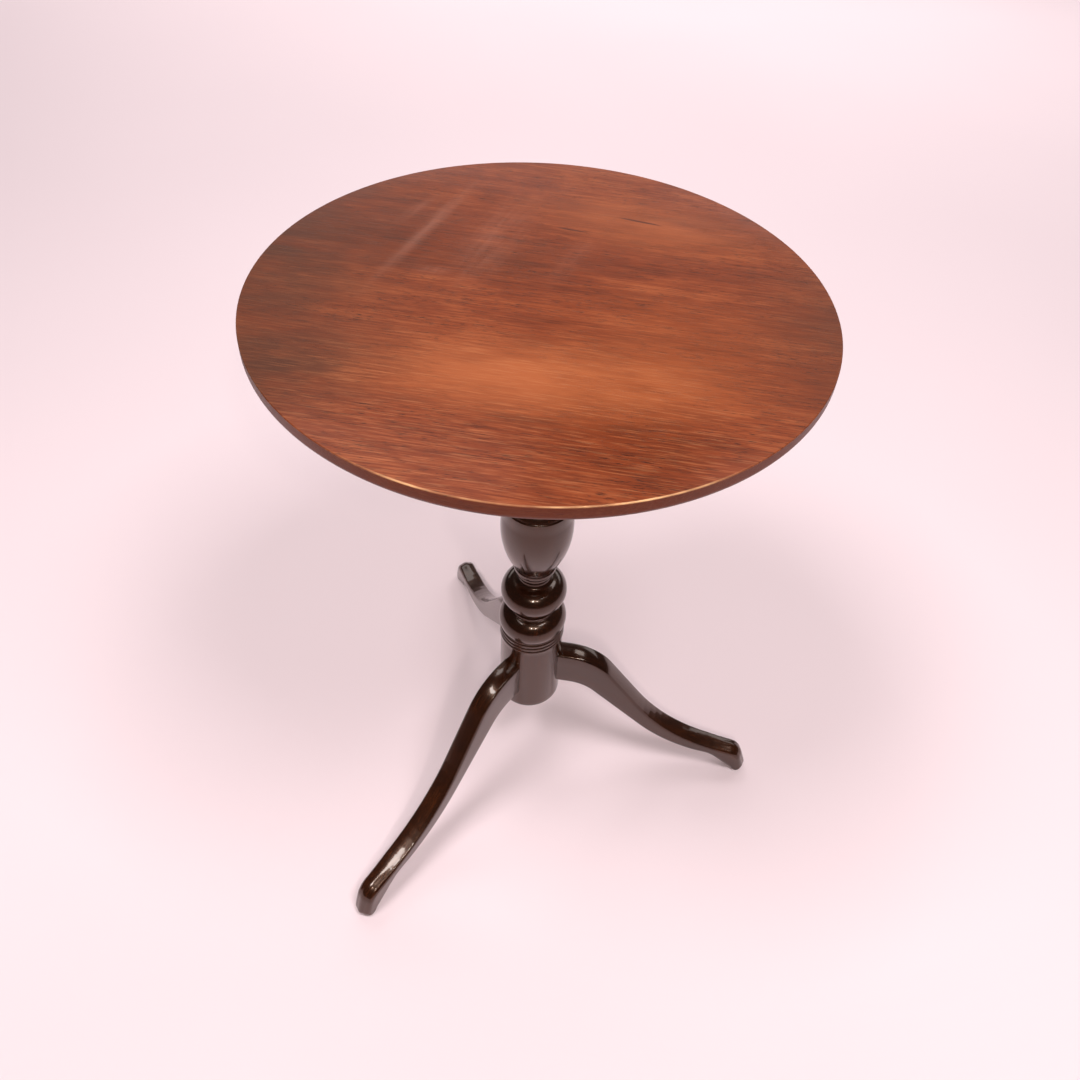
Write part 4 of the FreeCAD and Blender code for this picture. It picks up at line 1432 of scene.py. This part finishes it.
@dataclass
class Leg:
    """A cabriole leg: flat sides, soft arrises, a club toe, and a dovetail at its root."""

    thickness: float = 23.5
    root: float = 35.0
    arris: float = 3.4
    crown: float = 0.9
    toe_arris: float = 6.0
    toe_crown: float = 1.6
    toe_span: Point = (238.0, 276.0)
    arris_limit: float = 0.32
    crown_limit: float = 0.10
    toe_round: float = 12.0
    nose: float = 0.35
    tip: float = 298.5
    slope: float = 38.0
    grain_start: float = 0.05
    stations: int = 220
    dovetail: Triple = (13.0, 11.0, 16.0)
    dovetail_lap: float = 0.4
    dovetail_heights: Point = (120.85, 190.0)
    upper: tuple[Triple, ...] = (
        (35.0, 198.5, 0.0),
        (82.2, 198.5, 65.0),
        (187.3, 54.4, 180.0),
        (285.5, 38.9, 22.0),
        (298.5, 0.0, 7.0),
        (285.5, 0.0, 0.0),
    )
    lower: tuple[Triple, ...] = (
        (35.0, 147.0, 0.0),
        (68.3, 147.0, 45.0),
        (178.3, 44.7, 170.0),
        (246.0, 27.5, 40.0),
        (279.0, 0.0, 8.0),
        (285.1, 0.0, 0.0),
    )

    def plan(self, reach: np.ndarray) -> np.ndarray:
        """How wide the leg is, seen from above: it rounds off towards the toe's tip.

        Args:
            reach: distances from the column's axis, in metres.

        Returns:
            The width at each, as a share of the leg's thickness.
        """
        past = np.clip(reach / MM - self.tip + self.toe_round, 0.0, self.toe_round)
        return self.nose + (1.0 - self.nose) * np.sqrt(1.0 - (past / self.toe_round) ** 2)

    def loft(self) -> tuple[np.ndarray, list[tuple[int, ...]]]:
        """The leg's skin, along +X.

        Returns:
            Its points and its faces.
        """
        places = np.linspace(0.0, 1.0, self.stations)
        top = resampled(rounded(self.upper), places)
        base = resampled(rounded(self.lower), places)
        rings = []
        deep = np.linalg.norm(top - base, axis=1)
        toe = np.interp(top[:, 0] / MM, self.toe_span, (0.0, 1.0))
        toe = np.maximum.accumulate(toe * toe * (3.0 - 2.0 * toe))
        arris = (self.arris + (self.toe_arris - self.arris) * toe) * MM
        arris = np.minimum(arris, self.arris_limit * deep)
        crown = (self.crown + (self.toe_crown - self.crown) * toe) * MM
        for line, out in ((top, 1.0), (base, -1.0)):
            ahead = np.gradient(line, axis=0)
            ahead /= np.linalg.norm(ahead, axis=1, keepdims=True)
            inward = np.column_stack([ahead[:, 1], -ahead[:, 0]]) * out
            half = self.thickness / 2 * MM
            rows = []
            dome = np.minimum(crown * max(out, 0.0), self.crown_limit * deep)
            for share in (0.0, 0.35, 0.7, 1.0):
                inset = line + inward * (dome * share**2)[:, None]
                rows.append((inset, (half - arris) * share))
            for degrees in (15.0, 30.0, 45.0, 60.0, 75.0, 90.0):
                angle = math.radians(degrees)
                inset = line + inward * (dome + arris * (1.0 - math.cos(angle)))[:, None]
                rows.append((inset, half - arris * (1.0 - math.sin(angle))))
            rings.append(rows)
        upper, lower = rings
        half = list(upper)
        for share in (0.25, 0.5, 0.75):
            line = upper[-1][0] * (1 - share) + lower[-1][0] * share
            half.append((line, upper[-1][1] * (1 - share) + lower[-1][1] * share))
        half += lower[::-1]
        loop = half + [(line, -side) for line, side in half[-2:0:-1]]
        reach = np.array([line[:, 0] for line, side in loop]).T
        height = np.array([line[:, 1] for line, side in loop]).T
        across = np.array([np.broadcast_to(side, self.stations) for line, side in loop]).T
        points = np.stack([reach, across * self.plan(reach), height], axis=-1)
        count = len(loop)
        faces = []
        for first in range(0, (self.stations - 1) * count, count):
            for a in range(count):
                b = (a + 1) % count
                faces.append((first + a, first + b, first + count + b, first + count + a))
        faces.append(tuple(range(count)))
        faces.append(tuple((self.stations - 1) * count + a for a in reversed(range(count))))
        return points.reshape(-1, 3), faces

    def tail(self, first: int) -> tuple[np.ndarray, list[tuple[int, ...]]]:
        """The dovetail at the leg's root.

        Args:
            first: the number of its first point.

        Returns:
            Its points and its faces.
        """
        depth, mouth, back = self.dovetail
        near, far = self.root + self.dovetail_lap, self.root - depth
        plan = [(near, -mouth / 2), (near, mouth / 2), (far, back / 2), (far, -back / 2)]
        points = [(x * MM, y * MM, z * MM) for z in self.dovetail_heights for x, y in plan]
        faces = [(0, 1, 2, 3), (7, 6, 5, 4)]
        faces += [(a, (a + 1) % 4, 4 + (a + 1) % 4, 4 + a) for a in range(4)]
        return np.array(points), [tuple(first + a for a in face) for face in faces]

    def build(self, name: str, azimuth: float) -> None:
        """Make one leg and put it on the base.

        Args:
            name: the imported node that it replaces.
            azimuth: the way that it points, in degrees from +X.
        """
        skin, faces = self.loft()
        tail, tail_faces = self.tail(len(skin))
        points = np.vstack([skin, tail])
        mesh = bpy.data.meshes.new(name)
        mesh.from_pydata(points.tolist(), [], faces + tail_faces)
        mesh.transform(Matrix.Rotation(math.radians(azimuth), 4, "Z"))
        start = self.grain_start + azimuth * MM
        lay = Lay(turn=(0.0, self.slope, azimuth), start=(0.0, 0.0, start))
        mesh.materials.append(DARK_POLISH.make(name, lay))
        piece = new_piece(f"cabriole_{name}", clean(mesh))
        settle(piece, Body.BASE, Slot.DARK_WOOD, name)


@dataclass
class Underworks:
    """What carries and tilts the board: block, wedge, pintles and bearers."""

    lathe: Lathe
    steps: int = 64
    pintle_edge: float = 1.2
    pintle_round: float = 1.26
    block_ease: float = 0.8
    wedge_ease: float = 0.15
    bearer_ease: float = 0.9

    def build_pintle(self, name: str) -> None:
        """Turn one pintle with rounded ends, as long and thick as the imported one.

        Args:
            name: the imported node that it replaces.
        """
        low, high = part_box(name)
        radius = (high.z - low.z) / 2 / MM
        length = (high.x - low.x) / MM
        edge, bend = self.pintle_edge, self.pintle_round
        line = Profile(0.0, 0.0).line(radius - edge, 0.0).arc(radius, edge, bend, -1)
        line.line(radius, length - edge).arc(radius - edge, length, bend, -1)
        line.line(0.0, length)
        mesh = self.lathe.turned(name, line, self.steps, TURNED_STEEL.make(name, Lay()))
        along_x = Matrix.Rotation(math.radians(90.0), 4, "Y")
        middle = Vector((low.x, (low.y + high.y) / 2, (low.z + high.z) / 2))
        mesh.transform(Matrix.Translation(middle) @ along_x)
        settle(new_piece(f"turned_{name}", mesh), Body.BASE, Slot.STEEL, name)

    def build(self) -> None:
        """Make the block's and the bearers' pieces."""
        block = DRY_MAHOGANY.make("tilt_block", Lay(start=(0.0, 0.0, 0.2)))
        softened("tilt_block", Body.BASE, Slot.UNDER_WOOD, block, self.block_ease)
        wedge = DRY_MAHOGANY.make("tenon_wedge", Lay(turn=(0.0, 90.0, 0.0)))
        softened("tenon_wedge", Body.BASE, Slot.UNDER_WOOD, wedge, self.wedge_ease)
        for side, start in (("left", 0.4), ("right", 0.9)):
            self.build_pintle(f"pintle_{side}")
            name = f"bearer_{side}"
            wood = DRY_MAHOGANY.make(name, Lay(turn=(0.0, 0.0, 90.0), start=(0.0, start, 0.0)))
            softened(name, Body.BOARD, Slot.UNDER_WOOD, wood, self.bearer_ease)


@dataclass
class Screw:
    """A slotted wood screw whose axis is +Z and whose seat is at height 0, in millimetres."""

    shank: float
    head: float
    height: float
    length: float
    countersunk: bool
    slot_width: float = 0.8
    slot_depth: float = 0.8
    plain: float = 0.35
    pitch: float = 0.9
    root: float = 0.72
    steps: int = 40

    def profile(self) -> Profile:
        """The screw's half section, with its plain length, pitch and thread root as shares.

        Returns:
            The line from its head to its point.
        """
        if self.countersunk:
            line = Profile(0.0, 0.0).line(self.head - 0.15, 0.0)
            line.line(self.head, 0.12).line(self.shank, self.height)
        else:
            line = Profile(0.0, -self.height)
            line.arc(self.head, -0.35, self.head * 1.32, -1).line(self.head, 0.0)
            line.line(self.shank, 0.0)
        level = self.length * self.plain
        line.line(self.shank, level)
        turn = self.shank * self.pitch
        while level < self.length - 2.0 * self.shank:
            line.line(self.shank * self.root, level + turn * 0.5).line(self.shank, level + turn)
            level += turn
        return line.line(0.0, self.length)

    def make(self, name: str, lathe: Lathe, finish: bpy.types.Material) -> bpy.types.Object:
        """The screw as a loose object that a tree can set.

        Args:
            name: the screw's name.
            lathe: the lathe that turns it.
            finish: its material.

        Returns:
            The screw, with its slot cut.
        """
        screw = new_piece(name, lathe.turned(name, self.profile(), self.steps, finish))
        top = 0.0 if self.countersunk else -self.height
        cutter = bpy.data.meshes.new("slot")
        work = bmesh.new()
        bmesh.ops.create_cube(work, size=1.0)
        size = (self.head * 3, self.slot_width, self.slot_depth * 2)
        bmesh.ops.scale(work, vec=Vector(size) * MM, verts=work.verts)
        bmesh.ops.translate(work, vec=Vector((0.0, 0.0, top * MM)), verts=work.verts)
        work.to_mesh(cutter)
        work.free()
        saw = new_piece("slot_saw", cutter)
        cut = screw.modifiers.new("slot", "BOOLEAN")
        cut.operation = "DIFFERENCE"
        cut.object = saw
        cut.solver = "EXACT"
        made = evaluated(screw)
        screw.modifiers.clear()
        screw.data = clean(made)
        bpy.data.objects.remove(saw)
        return screw


@dataclass
class Fasteners:
    """The four sets of wood screws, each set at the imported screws' own places."""

    lathe: Lathe
    driver: ScrewDriver
    bearer: Screw = field(default_factory=lambda: Screw(2.0, 3.9, 2.4, 22.0, False))
    small: Screw = field(default_factory=lambda: Screw(1.1, 2.3, 1.2, 10.0, True))
    plate: Screw = field(default_factory=lambda: Screw(1.8, 3.6, 2.2, 20.0, False))

    def drive(
        self, node: str, screw: Screw, body: Body, slot: Slot, metal: Metal, lean: float = 0.0
    ) -> None:
        """Set one group of screws.

        Args:
            node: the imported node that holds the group.
            screw: the kind of screw.
            body: the body that they move with.
            slot: the record's slot for their finish.
            metal: what they are made of.
            lean: how far the screws' axis leans from +Z towards -Y, in degrees.
        """
        finish = metal.make(node, Lay(turn=(0.0, 0.0, 40.0)))
        loose = screw.make(f"{node}_one", self.lathe, finish)
        seats = []
        for low, high in islands(node):
            middle = (low + high) / 2
            if lean:
                seats.append((middle.x, high.y, middle.z))
            else:
                sunk = 0.0 if screw.countersunk else screw.height * MM
                seats.append((middle.x, middle.y, low.z + sunk))
        points = bpy.data.meshes.new(f"{node}_seats")
        points.from_pydata(seats, [], [])
        name = f"slotted_{node}"
        mesh = self.driver.run(
            name, points, screw=loose, lean=math.radians(lean), finish=finish
        )
        bpy.data.objects.remove(loose)
        settle(new_piece(name, mesh), body, slot, node)

    def build(self) -> None:
        """Set all the screws."""
        self.drive("spider_screws", self.plate, Body.BASE, Slot.IRON, BLACK_IRON)
        self.drive("keeper_screws", self.small, Body.BASE, Slot.BRASS, AGED_BRASS, lean=90.0)
        self.drive("bolt_screws", self.small, Body.BOARD, Slot.BRASS, AGED_BRASS)
        for side in ("left", "right"):
            self.drive(
                f"bearer_screws_{side}", self.bearer, Body.BOARD, Slot.IRON, BLACK_IRON
            )


@dataclass
class Catch:
    """The brass slide bolt, its case and keeper, and the iron plate under the drum."""

    lathe: Lathe
    steps: int = 72
    knob_dimple: Point = (1.6, 0.5)
    dimple_lip: float = 2.2
    knob_face: float = 4.0
    knob_rim: Point = (6.6, 2.0)
    rim_round: float = 3.0
    bead_foot: Point = (6.2, 2.5)
    bead_head: Point = (6.2, 4.7)
    bead_round: float = 1.25
    knob_back: Point = (6.4, 5.2)
    knob_shoulder: Point = (5.8, 7.0)
    shoulder_round: float = 2.0
    stem: float = 2.5
    stem_foot: float = 8.6
    stem_hollow: float = 3.2
    knob_ease: float = 0.12
    plate_ease: float = 0.5

    def build_knob(self) -> None:
        """Turn the thumb knob with a beaded rim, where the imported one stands."""
        low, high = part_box("bolt_knob")
        middle = (low + high) / 2
        top = (high.z - low.z) / MM
        line = Profile(0.0, self.knob_dimple[1]).line(*self.knob_dimple)
        line.line(self.dimple_lip, 0.0)
        line.line(self.knob_face, 0.0).arc(*self.knob_rim, self.rim_round, -1)
        line.line(*self.bead_foot).arc(*self.bead_head, self.bead_round, -1)
        line.line(*self.knob_back).arc(*self.knob_shoulder, self.shoulder_round, -1)
        line.arc(self.stem, self.stem_foot, self.stem_hollow, 1)
        line.line(self.stem, top).line(0.0, top).eased(self.knob_ease)
        finish = AGED_BRASS.make("knob", Lay())
        mesh = self.lathe.turned("turned_knob", line, self.steps, finish)
        mesh.transform(Matrix.Translation(Vector((middle.x, middle.y, low.z))))
        settle(new_piece("turned_knob", mesh), Body.BOLT, Slot.BRASS, "bolt_knob")

    def build(self) -> None:
        """Make the catch's pieces."""
        along = Lay(turn=(0.0, 0.0, 90.0))
        for node, body, width in (
            ("keeper_plate", Body.BASE, 0.25),
            ("bolt_plate", Body.BOARD, 0.35),
            ("bolt_case", Body.BOARD, 0.45),
            ("slide_bolt", Body.BOLT, 0.45),
        ):
            softened(node, body, Slot.BRASS, AGED_BRASS.make(node, along), width)
        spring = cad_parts["bolt_spring"]
        spring.data.materials.clear()
        spring.data.materials.append(AGED_BRASS.make("bolt_spring", along))
        iron = BLACK_IRON.make("spider_plate", Lay())
        softened("spider_plate", Body.BASE, Slot.IRON, iron, self.plate_ease)
        self.build_knob()


DAYLIGHT: Colour = (0.97, 0.98, 1.0)
LAMPLIGHT: Colour = (1.0, 0.95, 0.90)


@dataclass(frozen=True)
class SoftBox:
    """One studio light: where it hangs, what it faces, its size, its power and its colour."""

    name: str
    place: Triple
    aim: Triple
    size: Point
    power: float
    colour: Colour = DAYLIGHT

    def hang(self) -> None:
        """Put the light in the studio."""
        light = bpy.data.lights.new(self.name, "AREA")
        light.shape = "RECTANGLE"
        light.size, light.size_y = self.size
        light.energy = self.power
        light.color = self.colour
        lamp = bpy.data.objects.new(self.name, light)
        lamp.location = self.place
        ahead = Vector(self.aim) - Vector(self.place)
        lamp.rotation_euler = ahead.to_track_quat("-Z", "Y").to_euler()
        lamp.visible_camera = False
        bpy.context.collection.objects.link(lamp)


@dataclass
class Studio:
    """The floor, the lights and the camera."""

    lights: tuple[SoftBox, ...] = (
        SoftBox("left_box", (-1.0, -0.7, 3.3), (0.0, -0.1, 0.2), (1.0, 1.0), 53.0),
        SoftBox("left_back_box", (-1.0, 1.9, 3.3), (-1.0, 1.7, 0.0), (1.2, 1.2), 18.0),
        SoftBox("right_box", (1.1, -0.7, 3.3), (0.0, -0.1, 0.2), (1.0, 1.0), 53.0),
        SoftBox("right_back_box", (1.1, 1.9, 3.3), (1.1, 1.7, 0.0), (1.2, 1.2), 18.0),
        SoftBox("far_wash", (-0.5, 4.1, 2.1), (-0.5, 4.2, 0.0), (8.4, 2.6), 125.0),
        SoftBox("near_lamp", (0.16, -1.6, 2.1), (0, 0, 0.35), (0.08, 0.14), 10.0, LAMPLIGHT),
        SoftBox("side_lamp", (0.62, -1.5, 2.05), (0, 0, 0.35), (0.07, 0.10), 6.0, LAMPLIGHT),
    )
    floor_reach: float = 9.0
    world_colour: Colour = (1.0, 0.955, 0.955)
    world_strength: float = 0.055
    eye: Triple = (0.0911, -0.6830, 1.1608)
    heading: float = -1.795
    dip: float = 38.985
    roll: float = 6.631
    lens: float = 30.946
    sensor: float = 36.0
    shift: Point = (-0.0717, -0.1355)
    clip: Point = (0.02, 60.0)

    def lay_floor(self) -> None:
        """The plain pale floor."""
        reach = self.floor_reach
        corners = [(-reach, -reach, 0), (reach, -reach, 0), (reach, reach, 0), (-reach, reach, 0)]
        mesh = bpy.data.meshes.new("studio_floor")
        mesh.from_pydata(corners, [], [(0, 1, 2, 3)])
        mesh.materials.append(StudioPaint().make())
        new_piece("studio_floor", mesh)

    def open_sky(self) -> None:
        """The faint even light from all round."""
        world = bpy.data.worlds.new("studio_sky")
        world.use_nodes = True
        sky = world.node_tree.nodes["Background"]
        sky.inputs["Color"].default_value = (*self.world_colour, 1.0)
        sky.inputs["Strength"].default_value = self.world_strength
        bpy.context.scene.world = world

    def set_camera(self) -> None:
        """The camera, a little to the right and above, looking down at the board."""
        heading, dip, roll = (math.radians(a) for a in (self.heading, self.dip, self.roll))
        ahead = Vector(
            (math.sin(heading) * math.cos(dip), math.cos(heading) * math.cos(dip), -math.sin(dip))
        )
        level = Vector((math.cos(heading), -math.sin(heading), 0.0))
        up = level.cross(ahead)
        right = level * math.cos(roll) + up * math.sin(roll)
        over = up * math.cos(roll) - level * math.sin(roll)
        turn = Matrix((right, over, -ahead)).transposed().to_4x4()
        camera = bpy.data.cameras.new("viewpoint")
        camera.sensor_width = self.sensor
        camera.lens = self.lens
        camera.shift_x, camera.shift_y = self.shift
        camera.clip_start, camera.clip_end = self.clip
        eye = bpy.data.objects.new("viewpoint", camera)
        eye.matrix_world = Matrix.Translation(Vector(self.eye)) @ turn
        bpy.context.collection.objects.link(eye)
        bpy.context.scene.camera = eye

    def build(self) -> None:
        """Set the whole studio."""
        self.lay_floor()
        for light in self.lights:
            light.hang()
        self.open_sky()
        self.set_camera()
        bpy.context.scene.view_settings.view_transform = "Standard"


def main() -> None:
    """Build the table and its studio, in the order that a maker would."""
    logging.basicConfig(level=logging.INFO, format="%(name)s: %(message)s")
    lathe = Lathe()
    Column(lathe).build()
    leg = Leg()
    for index, name in enumerate(("leg_right", "leg_rear", "leg_left")):
        leg.build(name, 120.0 * index)
    Underworks(lathe).build()
    Board(lathe).build()
    Catch(lathe).build()
    Fasteners(lathe, ScrewDriver()).build()
    Studio().build()


if __name__ == "__main__":
    main()
